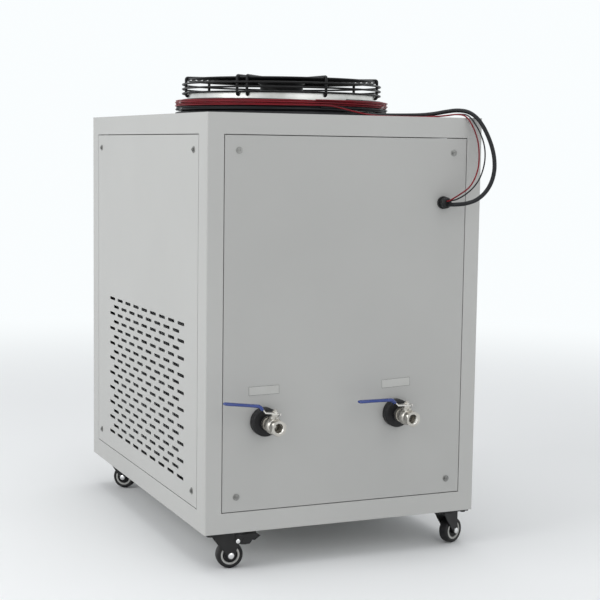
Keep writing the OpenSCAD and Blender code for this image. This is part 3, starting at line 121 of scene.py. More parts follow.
POWER_ROUTE = [
    (0.2495, -0.470, 0.8445), (0.2495, -0.482, 0.8445), (0.255, -0.497, 0.8455),
    (0.272, -0.509, 0.848), (0.297, -0.514, 0.856), (0.321, -0.514, 0.873),
    (0.339, -0.511, 0.896), (0.350, -0.506, 0.923), (0.354, -0.499, 0.951),
    (0.352, -0.491, 0.979), (0.346, -0.482, 1.005), (0.338, -0.471, 1.029),
    (0.328, -0.457, 1.050), (0.315, -0.437, 1.064), (0.300, -0.411, 1.068),
    (0.283, -0.385, 1.065), (0.264, -0.359, 1.060), (0.243, -0.335, 1.057),
    (0.218, -0.315, 1.056), (0.190, -0.300, 1.0555), (0.160, -0.2905, 1.0553),
    (0.130, -0.286, 1.0553), (0.101, -0.2855, 1.0553), (0.0798, -0.2878, 1.0553),
]  # fmt: skip
RED_ROUTE = [
    (0.2445, -0.470, 0.852), (0.2445, -0.479, 0.853), (0.250, -0.488, 0.8585),
    (0.266, -0.494, 0.8695), (0.287, -0.498, 0.885), (0.303, -0.497, 0.907),
    (0.314, -0.493, 0.933), (0.319, -0.487, 0.961), (0.320, -0.480, 0.989),
    (0.317, -0.470, 1.015), (0.311, -0.458, 1.038), (0.303, -0.444, 1.054),
    (0.291, -0.424, 1.058), (0.275, -0.400, 1.0555), (0.256, -0.376, 1.053),
    (0.232, -0.351, 1.0523), (0.203, -0.331, 1.0523), (0.171, -0.318, 1.0523),
    (0.139, -0.309, 1.0535), (0.107, -0.304, 1.057), (0.074, -0.3025, 1.063),
    (0.041, -0.3015, 1.070), (0.012, -0.3023, 1.0745), (-0.0133, -0.3004, 1.0753),
]  # fmt: skip
BLACK_ROUTE = [
    (0.2505, -0.470, 0.8535), (0.2505, -0.480, 0.854), (0.2585, -0.492, 0.8575),
    (0.275, -0.500, 0.868), (0.294, -0.502, 0.883), (0.312, -0.501, 0.904),
    (0.325, -0.497, 0.929), (0.333, -0.491, 0.957), (0.334, -0.484, 0.985),
    (0.329, -0.474, 1.012), (0.320, -0.461, 1.037), (0.309, -0.446, 1.0555),
    (0.296, -0.422, 1.0585), (0.281, -0.394, 1.0555), (0.264, -0.369, 1.053),
    (0.240, -0.345, 1.0523), (0.210, -0.325, 1.0523), (0.177, -0.3115, 1.0523),
    (0.143, -0.302, 1.053), (0.110, -0.297, 1.056), (0.076, -0.2963, 1.0615),
    (0.043, -0.2978, 1.065), (0.014, -0.302, 1.066), (0.0005, -0.3006, 1.066),
]  # fmt: skip

CABLE_D = 0.010
WIRE_D = 0.0035
COIL_GAP = 0.0006
COIL_OFF_RING = 0.003
COIL_IN_R = RING_R + COIL_OFF_RING + CABLE_D / 2
WIRE_IN_R = COIL_IN_R + (CABLE_D + COIL_GAP) + CABLE_D / 2 + COIL_GAP + WIRE_D / 2
# Height of each coil's first layer over the top panel
POWER_LIFT = 0.0003 + CABLE_D / 2
RED_LIFT = 0.0253
BLACK_LIFT = 0.016


def smoothed(points, parts=4):
    """The points with a smooth curve through them, parts steps to each."""
    pts = [Vector(p) for p in points]
    out = []
    for i in range(len(pts) - 1):
        before = pts[max(i - 1, 0)]
        a, b = pts[i], pts[i + 1]
        after = pts[min(i + 2, len(pts) - 1)]
        for k in range(parts):
            t = k / parts
            out.append(
                a
                + 0.5 * t * (b - before)
                + t * t * (before - 2.5 * a + 2 * b - 0.5 * after)
                + t * t * t * (1.5 * a - 0.5 * before - 1.5 * b + 0.5 * after)
            )
    return out + [pts[-1]]


def climb(x):
    """From 0 to 1 over the half turn round x = 0."""
    if abs(x) >= 0.25:
        return float(x > 0)
    return (1 + math.sin(2 * math.pi * x)) / 2


def pile(turns, inner, step, start, lift, steps=32):
    """A coil piled round the fan, from start degrees. turns has each layer's number of turns,
    and the layers wind inwards and outwards in alternation."""
    total = sum(turns)
    count = total * steps
    out = []
    for k in range(count + 1):
        t = total * k / count
        layer, begun = 0, 0
        while layer < len(turns) - 1 and t >= begun + turns[layer]:
            begun += turns[layer]
            layer += 1
        along = t - begun
        r = inner + step * (along if layer % 2 else turns[layer] - along)
        rise = sum(climb(t - sum(turns[:i])) for i in range(1, len(turns)))
        a = math.radians(start) - 2 * math.pi * t
        out.append(FAN + Vector((r * math.cos(a), r * math.sin(a), lift + step * rise)))
    return out


def cable(name, points, diameter, nodes):
    """A round cable along the points, on the cabinet, with the CAD nodes it stands for hidden."""
    piece = tube(name, [points], diameter / 2, resolution=3)
    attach(piece, "cabinet")
    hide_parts(*nodes)
    return piece


power_lead = cable(
    "power_lead",
    smoothed(POWER_ROUTE)
    + pile([2, 1, 1, 1], inner=COIL_IN_R, step=CABLE_D + COIL_GAP, start=-75, lift=POWER_LIFT),
    CABLE_D,
    ["power_cable", "power_coil"],
)
red_lead = cable(
    "red_lead",
    smoothed(RED_ROUTE)
    + pile([1, 1, 1, 1], inner=WIRE_IN_R, step=WIRE_D + COIL_GAP, start=-95, lift=RED_LIFT),
    WIRE_D,
    ["red_wire", "red_coil"],
)
black_lead = cable(
    "black_lead",
    smoothed(BLACK_ROUTE)
    + pile([1, 1], inner=WIRE_IN_R, step=WIRE_D + COIL_GAP, start=-92, lift=BLACK_LIFT),
    WIRE_D,
    ["black_wire", "black_coil"],
)


# Finishes

# The part of the broad noise's range that goes from colour to soil
SOIL_FROM = 0.38
SOIL_TO = 0.72
GRAIN_DEPTH = 0.0002
ROUGHNESS_SPREAD = 0.1


def make_surface_group():
    """Broad mottling and fine grain, as a colour, a roughness and a height."""
    group = bpy.data.node_groups.new("surface_variation", "ShaderNodeTree")
    sockets = group.interface
    for name, kind, value in (
        ("Colour", "NodeSocketColor", (0.5, 0.5, 0.5, 1)),
        ("Soil", "NodeSocketColor", (0.4, 0.4, 0.4, 1)),
        ("Vector", "NodeSocketVector", None),
        ("Broad scale", "NodeSocketFloat", 4.0),
        ("Grain scale", "NodeSocketFloat", 900.0),
        ("Amount", "NodeSocketFloat", 0.2),
        ("Roughness", "NodeSocketFloat", 0.4),
        ("Roughness spread", "NodeSocketFloat", 0.08),
    ):
        socket = sockets.new_socket(name, in_out="INPUT", socket_type=kind)
        if value is not None:
            socket.default_value = value
    sockets.new_socket("Colour", in_out="OUTPUT", socket_type="NodeSocketColor")
    sockets.new_socket("Roughness", in_out="OUTPUT", socket_type="NodeSocketFloat")
    sockets.new_socket("Height", in_out="OUTPUT", socket_type="NodeSocketFloat")
    nodes, links = group.nodes, group.links
    source = nodes.new("NodeGroupInput")
    result = nodes.new("NodeGroupOutput")
    broad = nodes.new("ShaderNodeTexNoise")
    broad.inputs["Detail"].default_value = 6
    grain = nodes.new("ShaderNodeTexNoise")
    grain.inputs["Detail"].default_value = 2
    links.new(source.outputs["Vector"], broad.inputs["Vector"])
    links.new(source.outputs["Vector"], grain.inputs["Vector"])
    links.new(source.outputs["Broad scale"], broad.inputs["Scale"])
    links.new(source.outputs["Grain scale"], grain.inputs["Scale"])
    share = nodes.new("ShaderNodeMapRange")
    share.inputs["From Min"].default_value = SOIL_FROM
    share.inputs["From Max"].default_value = SOIL_TO
    links.new(broad.outputs["Fac"], share.inputs["Value"])
    links.new(source.outputs["Amount"], share.inputs["To Max"])
    mix = nodes.new("ShaderNodeMix")
    mix.data_type = "RGBA"
    links.new(share.outputs["Result"], mix.inputs["Factor"])
    links.new(source.outputs["Colour"], mix.inputs["A"])
    links.new(source.outputs["Soil"], mix.inputs["B"])
    centred = nodes.new("ShaderNodeMath")
    centred.operation = "SUBTRACT"
    centred.inputs[1].default_value = 0.5
    links.new(grain.outputs["Fac"], centred.inputs[0])
    rough = nodes.new("ShaderNodeMath")
    rough.operation = "MULTIPLY_ADD"
    links.new(centred.outputs["Value"], rough.inputs[0])
    links.new(source.outputs["Roughness spread"], rough.inputs[1])
    links.new(source.outputs["Roughness"], rough.inputs[2])
    links.new(mix.outputs["Result"], result.inputs["Colour"])
    links.new(rough.outputs["Value"], result.inputs["Roughness"])
    links.new(grain.outputs["Fac"], result.inputs["Height"])
    return group


SURFACE = make_surface_group()


def finish(
    name,
    colour,
    soil,
    rough=0.4,
    metal=0.0,
    amount=0.3,
    broad=4.0,
    grain=900.0,
    bump=0.05,
    stretch=(1, 1, 1),
    coat=0.0,
    specular=0.5,
):
    """A procedural material: colour and soil mix broadly, and a fine grain roughens it."""
    material = bpy.data.materials.new(name)
    material.use_nodes = True
    nodes, links = material.node_tree.nodes, material.node_tree.links
    shader = nodes["Principled BSDF"]
    shader.inputs["Metallic"].default_value = metal
    shader.inputs["Coat Weight"].default_value = coat
    shader.inputs["Specular IOR Level"].default_value = specular
    place = nodes.new("ShaderNodeTexCoord")
    mapping = nodes.new("ShaderNodeMapping")
    mapping.inputs["Scale"].default_value = stretch
    links.new(place.outputs["Object"], mapping.inputs["Vector"])
    surface = nodes.new("ShaderNodeGroup")
    surface.node_tree = SURFACE
    links.new(mapping.outputs["Vector"], surface.inputs["Vector"])
    for socket, value in (
        ("Colour", (*colour, 1)),
        ("Soil", (*soil, 1)),
        ("Broad scale", broad),
        ("Grain scale", grain),
        ("Amount", amount),
        ("Roughness", rough),
        ("Roughness spread", ROUGHNESS_SPREAD),
    ):
        surface.inputs[socket].default_value = value
    relief = nodes.new("ShaderNodeBump")
    relief.inputs["Strength"].default_value = bump
    relief.inputs["Distance"].default_value = GRAIN_DEPTH
    links.new(surface.outputs["Height"], relief.inputs["Height"])
    links.new(surface.outputs["Colour"], shader.inputs["Base Color"])
    links.new(surface.outputs["Roughness"], shader.inputs["Roughness"])
    links.new(relief.outputs["Normal"], shader.inputs["Normal"])
    return material


# fmt: off
PAINT = finish(
    "grey_paint", (0.500, 0.500, 0.485), (0.450, 0.450, 0.436),
    rough=0.42, amount=0.5, broad=2.2, grain=700, bump=0.12,
)
# The same grey paint made darker for the panels and door: painted shade, standing in for the lesser light
# that falls on them
SHADED_PANEL_PAINT = finish(
    "grey_paint_painted_shade", (0.464, 0.464, 0.450), (0.420, 0.420, 0.408),
    rough=0.42, amount=0.5, broad=2.6, grain=700, bump=0.12,
)
STEEL = finish(
    "cast_stainless", (0.55, 0.53, 0.49), (0.33, 0.31, 0.28),
    rough=0.30, metal=1, amount=0.6, broad=45, grain=1800, bump=0.3,
)
TURNED_STEEL = finish(
    "turned_stainless", (0.70, 0.68, 0.64), (0.50, 0.48, 0.45),
    rough=0.20, metal=1, amount=0.5, broad=60, grain=900, stretch=(1, 9, 1),
)
ZINC = finish(
    "zinc_plate", (0.68, 0.68, 0.66), (0.48, 0.48, 0.45),
    rough=0.34, metal=1, amount=0.6, broad=30, grain=1200, bump=0.1,
)
SCREW_STEEL = finish(
    "dull_screw_plate", (0.30, 0.30, 0.29), (0.16, 0.16, 0.155),
    rough=0.30, metal=1, amount=0.7, broad=120, grain=1500, bump=0.1,
)
CHROME = finish(
    "bright_plate", (0.80, 0.80, 0.80), (0.60, 0.60, 0.60),
    rough=0.12, metal=1, amount=0.3, broad=80, grain=1500,
)
WIRE_COAT = finish(
    "black_wire_coat", (0.008, 0.008, 0.009), (0.018, 0.018, 0.018),
    rough=0.42, specular=0.2, amount=0.6, broad=30, grain=600, bump=0.2,
)
BLACK_PAINT = finish(
    "black_paint", (0.011, 0.011, 0.012), (0.026, 0.025, 0.024),
    rough=0.38, specular=0.3, amount=0.6, broad=25, grain=900, bump=0.15,
)
BLACK_PLASTIC = finish(
    "black_nylon", (0.011, 0.011, 0.012), (0.022, 0.022, 0.022),
    rough=0.42, specular=0.25, amount=0.5, broad=30, grain=1500, bump=0.2,
)
CABLE_JACKET = finish(
    "black_cable_jacket", (0.010, 0.011, 0.013), (0.022, 0.022, 0.024),
    rough=0.46, specular=0.22, amount=0.6, broad=14, grain=800, bump=0.2,
)
RED_JACKET = finish(
    "red_wire_jacket", (0.225, 0.009, 0.017), (0.080, 0.006, 0.010),
    rough=0.44, specular=0.2, amount=0.6, broad=12, grain=900, bump=0.1,
)
TREAD = finish(
    "black_tread", (0.011, 0.011, 0.012), (0.030, 0.029, 0.027),
    rough=0.50, specular=0.25, amount=0.7, broad=30, grain=1100, bump=0.25,
)
HUB_GREY = finish(
    "grey_hub_ring", (0.46, 0.46, 0.44), (0.32, 0.32, 0.30),
    rough=0.38, amount=0.6, broad=40, grain=1000,
)
BLUE_DIP = finish(
    "blue_vinyl_dip", (0.012, 0.040, 0.230), (0.008, 0.026, 0.150),
    rough=0.22, amount=0.6, broad=20, grain=700, bump=0.1, coat=0.3,
)
ALUMINIUM = finish(
    "pressed_fins", (0.52, 0.53, 0.54), (0.34, 0.34, 0.34),
    rough=0.42, metal=1, amount=0.6, broad=9, grain=800,
)
COPPER = finish(
    "copper_tube", (0.66, 0.31, 0.18), (0.36, 0.17, 0.10),
    rough=0.30, metal=1, amount=0.6, broad=14, grain=900,
)
TANK_STEEL = finish(
    "tank_sheet", (0.56, 0.57, 0.57), (0.42, 0.42, 0.42),
    rough=0.36, metal=1, amount=0.5, broad=5, grain=500, stretch=(1, 1, 8),
)
LABEL_FACE = finish(
    "label_face", (0.52, 0.52, 0.50), (0.44, 0.44, 0.42),
    rough=0.34, amount=0.5, broad=30, grain=1200, bump=0.05,
)
LABEL_LINE = finish(
    "label_border", (0.035, 0.035, 0.04), (0.07, 0.07, 0.07),
    rough=0.40, amount=0.6, broad=60, grain=1200,
)
GREEN = finish(
    "green_lens", (0.02, 0.30, 0.07), (0.015, 0.20, 0.05),
    rough=0.18, amount=0.5, broad=40, grain=900, coat=0.4,
)
RED = finish(
    "red_lens", (0.46, 0.018, 0.014), (0.30, 0.014, 0.010),
    rough=0.18, amount=0.5, broad=40, grain=900, coat=0.4,
)
DRIER_GREEN = finish(
    "drier_green", (0.035, 0.14, 0.06), (0.03, 0.10, 0.05),
    rough=0.32, amount=0.5, broad=20, grain=900,
)
PUMP_BLUE = finish(
    "pump_blue", (0.030, 0.085, 0.20), (0.022, 0.060, 0.14),
    rough=0.38, amount=0.6, broad=12, grain=700, bump=0.2,
)
# fmt: on

CAD_FINISHES = {
    PAINT: "base_tray corner_posts top_frame top_panel left_side_panel right_side_panel",
    # The panels and door take the darker copy of the grey paint, which is painted shade
    SHADED_PANEL_PAINT: "connection_panel service_panel control_door",
    ZINC: "fan_ring electrical_plate",
    SCREW_STEEL: "panel_screws",
    BLACK_PAINT: "door_hinges door_latch fan_motor compressor caster_plates fork_front_left"
    " fork_front_right fork_rear_left fork_rear_right pedal_front_left pedal_rear_right",
    BLACK_PLASTIC: "controller wall_collars cable_gland compressor_feet",
    STEEL: "valve_bodies pump_impeller inlet_ball outlet_ball",
    TURNED_STEEL: "inlet_handle outlet_handle water_pipes",
    ALUMINIUM: "condenser_fins",
    COPPER: "condenser_tubes refrigerant_lines evaporator_coil",
    TANK_STEEL: "water_tank",
    GREEN: "lamps start_button",
    RED: "stop_button",
    DRIER_GREEN: "filter_drier",
    PUMP_BLUE: "pump_casing pump_motor",
}
for material, names in CAD_FINISHES.items():
    for name in names.split():
        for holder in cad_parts[name].material_slots:
            holder.material = material
power_lead.data.materials.append(CABLE_JACKET)
black_lead.data.materials.append(CABLE_JACKET)
red_lead.data.materials.append(RED_JACKET)


# Modelling helpers

MERGE_WITHIN = 1e-6


def piece_from(name, bm, body, *materials, stands_for=(), smooth=40):
    """Makes the bmesh a piece on a body, with edges over smooth degrees kept sharp."""
    bmesh.ops.remove_doubles(bm, verts=bm.verts, dist=MERGE_WITHIN)
    bmesh.ops.recalc_face_normals(bm, faces=bm.faces)
    for face in bm.faces:
        face.smooth = True
    for edge in bm.edges:
        if edge.is_manifold and edge.calc_face_angle(0) > math.radians(smooth):
            edge.smooth = False
    mesh = bpy.data.meshes.new(name)
    bm.to_mesh(mesh)
    bm.free()
    piece = linked(name, mesh)
    for material in materials:
        mesh.materials.append(material)
    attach(piece, body)
    if stands_for:
        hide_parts(*stands_for)
    return piece


def turned(bm, outline, steps=48, closed=True):
    """Spins an outline of (radius, height) points about Z. Returns its vertices."""
    verts = [bm.verts.new((r, 0, z)) for r, z in outline]
    edges = [bm.edges.new(pair) for pair in zip(verts, verts[1:])]
    if closed:
        edges.append(bm.edges.new((verts[-1], verts[0])))
    before = set(bm.faces)
    bmesh.ops.spin(
        bm,
        geom=verts + edges,
        cent=(0, 0, 0),
        axis=(0, 0, 1),
        angle=2 * math.pi,
        steps=steps,
        use_merge=True,
    )
    fresh = [f for f in bm.faces if f not in before]
    return list({v for f in fresh for v in f.verts})


def wire_ring(bm, radius, height, wire, steps=96, sides=8):
    """A round wire bent into a level ring."""
    corners = [
        (
            radius + wire * math.cos(2 * math.pi * k / sides),
            height + wire * math.sin(2 * math.pi * k / sides),
        )
        for k in range(sides)
    ]
    return turned(bm, corners, steps)


def loft(bm, stations, sides=20):
    """Bridges flattened rings. A station is (matrix, half width, half height)."""
    loops = []
    for matrix, wide, high in stations:
        made = bmesh.ops.create_circle(bm, segments=sides, radius=1)
        bmesh.ops.scale(bm, vec=(wide, high, 1), verts=made["verts"])
        bmesh.ops.transform(bm, matrix=matrix, verts=made["verts"])
        loops.append(list({e for v in made["verts"] for e in v.link_edges}))
    for a, b in zip(loops, loops[1:]):
        bmesh.ops.bridge_loops(bm, edges=a + b)
    for edges in (loops[0], loops[-1]):
        bmesh.ops.contextual_create(bm, geom=edges)


def bent(points, radius, parts=6):
    """The path with each corner rounded to the radius."""
    pts = [Vector(p) for p in points]
    out = [pts[0]]
    for before, corner, after in zip(pts, pts[1:], pts[2:]):
        a = corner + (before - corner).normalized() * radius
        b = corner + (after - corner).normalized() * radius
        for k in range(parts + 1):
            t = k / parts
            out.append((1 - t) ** 2 * a + 2 * t * (1 - t) * corner + t * t * b)
    return out + [pts[-1]]


# Fan guard and rotor

GUARD_Z = 0.091
GUARD_TOP = 0.0984
PLATE_R = 0.060
LEG_R = RING_R + 0.0054
ARM_R = 0.0036
RING_WIRE = 0.0024
LEG_FOOT_Z = 0.049
LEGS = 7
FIRST_LEG = -112.5 - 180 / LEGS
# One more arm stands this many degrees beside the first
EXTRA_LEG = 6
FACE_RINGS = 13
SIDE_RINGS = 3
SIDE_RING_STEP = 0.0115
WELD = 0.0006
PLATE_TOP = GUARD_Z + 0.0044
PLATE_THICK = 0.003
PLATE_ROUNDING = 0.002
PLATE_EYE_R = 0.012
ARM_OVER_PLATE = 0.008
ARM_BEND = 0.005


def make_guard():
    """Level rings, side rings and eight bent arms of round wire, with a centre plate."""
    bm = bmesh.new()
    for k in range(1, FACE_RINGS + 1):
        wire_ring(bm, PLATE_R + k * (RING_R - PLATE_R) / FACE_RINGS, GUARD_Z, RING_WIRE)
    for k in range(SIDE_RINGS):
        height = GUARD_Z - SIDE_RING_STEP * (k + 1)
        wire_ring(bm, LEG_R + ARM_R + RING_WIRE - WELD, height, RING_WIRE)
    plate = [
        (0, PLATE_TOP - PLATE_THICK),
        (PLATE_R, PLATE_TOP - PLATE_THICK),
        (PLATE_R + PLATE_ROUNDING, PLATE_TOP - PLATE_THICK / 2),
        (PLATE_R, PLATE_TOP),
        (PLATE_EYE_R, PLATE_TOP),
        (0, PLATE_TOP),
    ]
    turned(bm, plate, closed=False)
    bmesh.ops.translate(bm, vec=FAN, verts=bm.verts)
    piece_from("guard_rings", bm, "cabinet", WIRE_COAT, stands_for=["fan_guard"])
    z = GUARD_TOP - ARM_R
    corners = [
        (PLATE_R - ARM_OVER_PLATE, 0, z),
        (LEG_R, 0, z),
        (LEG_R, 0, LEG_FOOT_Z),
        (RING_R - 0.001, 0, LEG_FOOT_Z),
    ]
    arms = []
    for degrees in [FIRST_LEG + k * 360 / LEGS for k in range(LEGS)] + [FIRST_LEG + EXTRA_LEG]:
        out = Matrix.Rotation(math.radians(degrees), 3, "Z")
        arms.append([FAN + out @ p for p in bent(corners, ARM_BEND)])
    guard_arms = tube("guard_arms", arms, ARM_R, resolution=2)
    guard_arms.data.materials.append(WIRE_COAT)
    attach(guard_arms, "cabinet")


BLADES = 5
HUB_R = 0.062
HUB_LOW = 0.006
HUB_HIGH = 0.066
SHAFT_R = 0.0081
ROOT_R = 0.0585
TIP_R = 0.231
BLADE_Z = 0.0335
BLADE_THICK = 0.0018
BLADE_BOW = 0.008
BLADE_SWEEP = 14
# Chord at the root and what it gains outwards; pitch at the root and what it loses
CHORD, CHORD_GAIN = 0.104, 0.034
PITCH, PITCH_LOSS = 29, 5


def make_rotor():
    """A pressed hub with five twisted and cambered blades."""
    bm = bmesh.new()
    hub = [
        (SHAFT_R, HUB_LOW), (HUB_R - 0.006, HUB_LOW), (HUB_R - 0.0015, HUB_LOW + 0.0015),
        (HUB_R, HUB_LOW + 0.006), (HUB_R, HUB_HIGH), (HUB_R - 0.003, HUB_HIGH),
        (HUB_R - 0.003, HUB_LOW + 0.008), (HUB_R - 0.008, HUB_LOW + 0.004), (SHAFT_R, HUB_LOW + 0.004),
    ]  # fmt: skip
    turned(bm, hub, steps=64)
    for k in range(BLADES):
        grid = bmesh.ops.create_grid(bm, x_segments=14, y_segments=10, size=0.5)
        for vert in grid["verts"]:
            along, across = vert.co.x + 0.5, vert.co.y
            r = ROOT_R + along * (TIP_R - ROOT_R)
            chord = CHORD + CHORD_GAIN * math.sin(math.pi * along * 0.8)
            pitch = math.radians(PITCH - PITCH_LOSS * along)
            bow = BLADE_BOW * (1 - 4 * across * across)
            round_off = 0.88 + 0.12 * math.sqrt(max(0.0, 1 - (2 * across) ** 4))
            sweep = math.radians(BLADE_SWEEP) * along * along
            a = across * chord * math.cos(pitch) / r + sweep
            reach = min(r, TIP_R * round_off)
            vert.co = (
                reach * math.cos(a),
                reach * math.sin(a),
                BLADE_Z + across * chord * math.sin(pitch) + bow,
            )
        turn = Matrix.Rotation(2 * math.pi * k / BLADES, 3, "Z")
        bmesh.ops.rotate(bm, matrix=turn, verts=grid["verts"])
        faces = list({f for v in grid["verts"] for f in v.link_faces})
        bmesh.ops.solidify(bm, geom=faces, thickness=BLADE_THICK)
    bmesh.ops.translate(bm, vec=FAN, verts=bm.verts)
    piece_from("rotor_blades", bm, "fan", BLACK_PAINT, stands_for=["fan_rotor"])


make_guard()
make_rotor()


# Ball valves


def at_valve(which, bm):
    """Moves a shape drawn in the valve's own frame to its place."""
    turn = Matrix.Rotation(math.radians(VALVE_ROLLS[which]), 4, "Y")
    place = Matrix.Translation((VALVE_XS[which], FACE_Y, VALVE_Z))
    bmesh.ops.transform(bm, matrix=place @ turn, verts=bm.verts)


# The handle's bar, cranked over a run from its low part to its high part
BAR_HALF = 0.0013
BAR_LOW_Z = 0.0273 + BAR_HALF
BAR_HIGH_Z = 0.0413 + BAR_HALF
CRANK_RUN = 0.014
CRANK_X = -0.040
GRIP_START = CRANK_X + 0.0082


def crank_z(x):
    """The bar's height at x, on its slope."""
    return BAR_HIGH_Z + (CRANK_X - x) * ((BAR_HIGH_Z - BAR_LOW_Z) / CRANK_RUN)


def make_sleeve(which):
    """The dipped vinyl grip: a flat rounded bar with a bend and a rounded tip."""
    stations = []
    spin = Matrix.Rotation(math.radians(90), 4, "Z")
    # x, z, tilt in degrees, half width and half height
    for x, z, tilt, wide, high in (
        (GRIP_START, crank_z(GRIP_START), 45, 0.0070, 0.0026),
        (GRIP_START - 0.0008, crank_z(GRIP_START - 0.0008), 45, 0.0088, 0.0040),
        (CRANK_X + 0.002, BAR_HIGH_Z - 0.0019, 38, 0.0090, 0.0042),
        (CRANK_X - 0.0015, BAR_HIGH_Z - 0.0002, 14, 0.0090, 0.0041),
        (CRANK_X - 0.006, BAR_HIGH_Z, 0, 0.0088, 0.0040),
        (-0.070, BAR_HIGH_Z, 0, 0.0086, 0.0038),
        (-0.100, BAR_HIGH_Z, 0, 0.0088, 0.0039),
        (-0.1185, BAR_HIGH_Z, 0, 0.0088, 0.0040),
        (-0.1225, BAR_HIGH_Z, 0, 0.0080, 0.0038),
        (-0.1255, BAR_HIGH_Z, 0, 0.0062, 0.0030),
        (-0.1272, BAR_HIGH_Z, 0, 0.0036, 0.0018),
    ):
        turn = Matrix.Rotation(math.radians(-90 + tilt), 4, "Y")
        place = Matrix.Translation((x, -STEM_OUT, z))
        stations.append((place @ turn @ spin, wide, high))
    bm = bmesh.new()
    loft(bm, stations)
    at_valve(which, bm)
    piece_from(f"{which}_grip", bm, f"{which}_valve", BLUE_DIP, stands_for=[f"{which}_sleeve"], smooth=60)


THREAD_R = 0.01205
THREAD_START = 0.0008
THREAD_PITCH = 0.0018
THREAD_DEPTH = 0.0009
THREAD_ROOT = 0.0001
RIDGES = 8


def make_threads(which):
    """The pipe thread inside the mouth, as a run of fine ridges."""
    bm = bmesh.new()
    outline = [(THREAD_R, THREAD_START)]
    for k in range(RIDGES):
        z = THREAD_START + k * THREAD_PITCH
        outline += [(THREAD_R - THREAD_ROOT, z), (THREAD_R - THREAD_DEPTH, z + THREAD_PITCH / 2)]
    end = THREAD_START + RIDGES * THREAD_PITCH
    outline += [(THREAD_R - THREAD_ROOT, end), (THREAD_R, end)]
    turned(bm, outline, steps=48)
    bmesh.ops.rotate(bm, matrix=Matrix.Rotation(math.radians(-90), 3, "X"), verts=bm.verts)
    bmesh.ops.translate(bm, vec=(0, -MOUTH_OUT, 0), verts=bm.verts)
    at_valve(which, bm)
    piece_from(f"{which}_thread", bm, "cabinet", TURNED_STEEL, smooth=80)


for which in VALVE_XS:
    make_sleeve(which)
    make_threads(which)


# Label plates, left blank inside a thin border

LABEL_SIZE = (0.077, 0.0008, 0.022)
LABEL_TILTS = {"inlet": 1.2, "outlet": 2.5}
LABEL_RISE = 0.072
LABEL_MARGIN = 0.0011
LABEL_BORDER = 0.0009


def make_labels():
    """A plate over each valve, a little out of level, as one piece."""
    bm = bmesh.new()
    for which, tilt in LABEL_TILTS.items():
        made = bmesh.ops.create_cube(bm, size=1)
        bmesh.ops.scale(bm, vec=LABEL_SIZE, verts=made["verts"])
        faces = {f for v in made["verts"] for f in v.link_faces}
        front = [f for f in faces if f.calc_center_median().y < -0.0003]
        bmesh.ops.inset_region(bm, faces=front, thickness=LABEL_MARGIN)
        inner = bmesh.ops.inset_region(bm, faces=front, thickness=LABEL_BORDER)
        for face in inner["faces"]:
            face.material_index = 1
        verts = list({v for f in front + inner["faces"] for v in f.verts} | set(made["verts"]))
        verts = list({v for w in verts for e in w.link_edges for v in e.verts})
        place = Matrix.Translation((VALVE_XS[which], FACE_Y - 0.0004, VALVE_Z + LABEL_RISE))
        turn = Matrix.Rotation(math.radians(-tilt), 4, "Y")
        bmesh.ops.transform(bm, matrix=place @ turn, verts=verts)
    piece_from("blank_labels", bm, "cabinet", LABEL_FACE, LABEL_LINE, stands_for=["label_plates"])


make_labels()


# Casters

WHEEL_R = 0.0315
TRAIL = 0.020


def caster_matrix(corner):
    """Wheel centre with the axle along Z of the shape's own frame."""
    x, y, turn = CASTERS[corner]
    swivel = Matrix.Translation((x, y, 0)) @ Matrix.Rotation(math.radians(turn), 4, "Z")
    return swivel @ Matrix.Translation((TRAIL, 0, WHEEL_R)) @ Matrix.Rotation(math.radians(90), 4, "X")


def make_wheel(corner):
    """A rounded tread, a grey ring and a stepped dark hub on each side."""
    half = 0.012
    tread = [
        (0.0225, -half + 0.001), (0.0245, -half), (0.0280, -half), (0.0300, -half + 0.0012),
        (0.0311, -half + 0.004), (WHEEL_R, -0.0045), (WHEEL_R, 0.0045), (0.0311, half - 0.004),
        (0.0300, half - 0.0012), (0.0280, half), (0.0245, half), (0.0225, half - 0.001),
    ]  # fmt: skip
    ring = [
        (0.0175, -half + 0.0025), (0.0185, -half + 0.0004), (0.0215, -half + 0.0004), (0.0225, -half + 0.001),
        (0.0225, half - 0.001), (0.0215, half - 0.0004), (0.0185, half - 0.0004), (0.0175, half - 0.0025),
    ]  # fmt: skip
    hub = [
        (0.00505, -half), (0.0090, -half), (0.0095, -half + 0.0035), (0.0150, -half + 0.0040),
        (0.0175, -half + 0.0020), (0.0175, half - 0.0020), (0.0150, half - 0.0040),
        (0.0095, half - 0.0035), (0.0090, half), (0.00505, half),
    ]  # fmt: skip
    for name, outline, material, nodes in (
        ("tread", tread, TREAD, [f"wheel_{corner}"]),
        ("hub_ring", ring, HUB_GREY, ()),
        ("hub", hub, BLACK_PLASTIC, ()),
    ):
        bm = bmesh.new()
        turned(bm, outline, steps=64)
        bmesh.ops.transform(bm, matrix=caster_matrix(corner), verts=bm.verts)
        piece_from(f"{name}_{corner}", bm, f"wheel_{corner}", material, stands_for=nodes)


# Each cap's place from the axle, along, up and out to the side, then its radius and height
AXLE_CAP = (0, 0, 0.0170, 0.0074, 0.0040)
PEDAL_CAP = (0.016, 0.034, 0.0196, 0.0050, 0.0022)


def make_bolt_caps(corner):
    """Bright caps over the axle's ends, and over the pedal's pin where there is a pedal."""
    places = [AXLE_CAP, PEDAL_CAP] if corner in BRAKED else [AXLE_CAP]
    bm = bmesh.new()
    for along, up, out, radius, height in places:
        for side in (1, -1):
            shape = turned(
                bm,
                [(0, 0), (radius, 0), (radius, height * 0.7), (radius * 0.78, height), (0, height)],
                steps=32,
                closed=False,
            )
            turn = Matrix.Rotation(0 if side > 0 else math.pi, 4, "X")
            move = Matrix.Translation((along, up, side * out))
            bmesh.ops.transform(bm, matrix=move @ turn, verts=shape)
    bmesh.ops.transform(bm, matrix=caster_matrix(corner), verts=bm.verts)
    piece_from(f"bolt_caps_{corner}", bm, f"caster_{corner}", CHROME)


for corner in CASTERS:
    make_wheel(corner)
    make_bolt_caps(corner)


# Surroundings

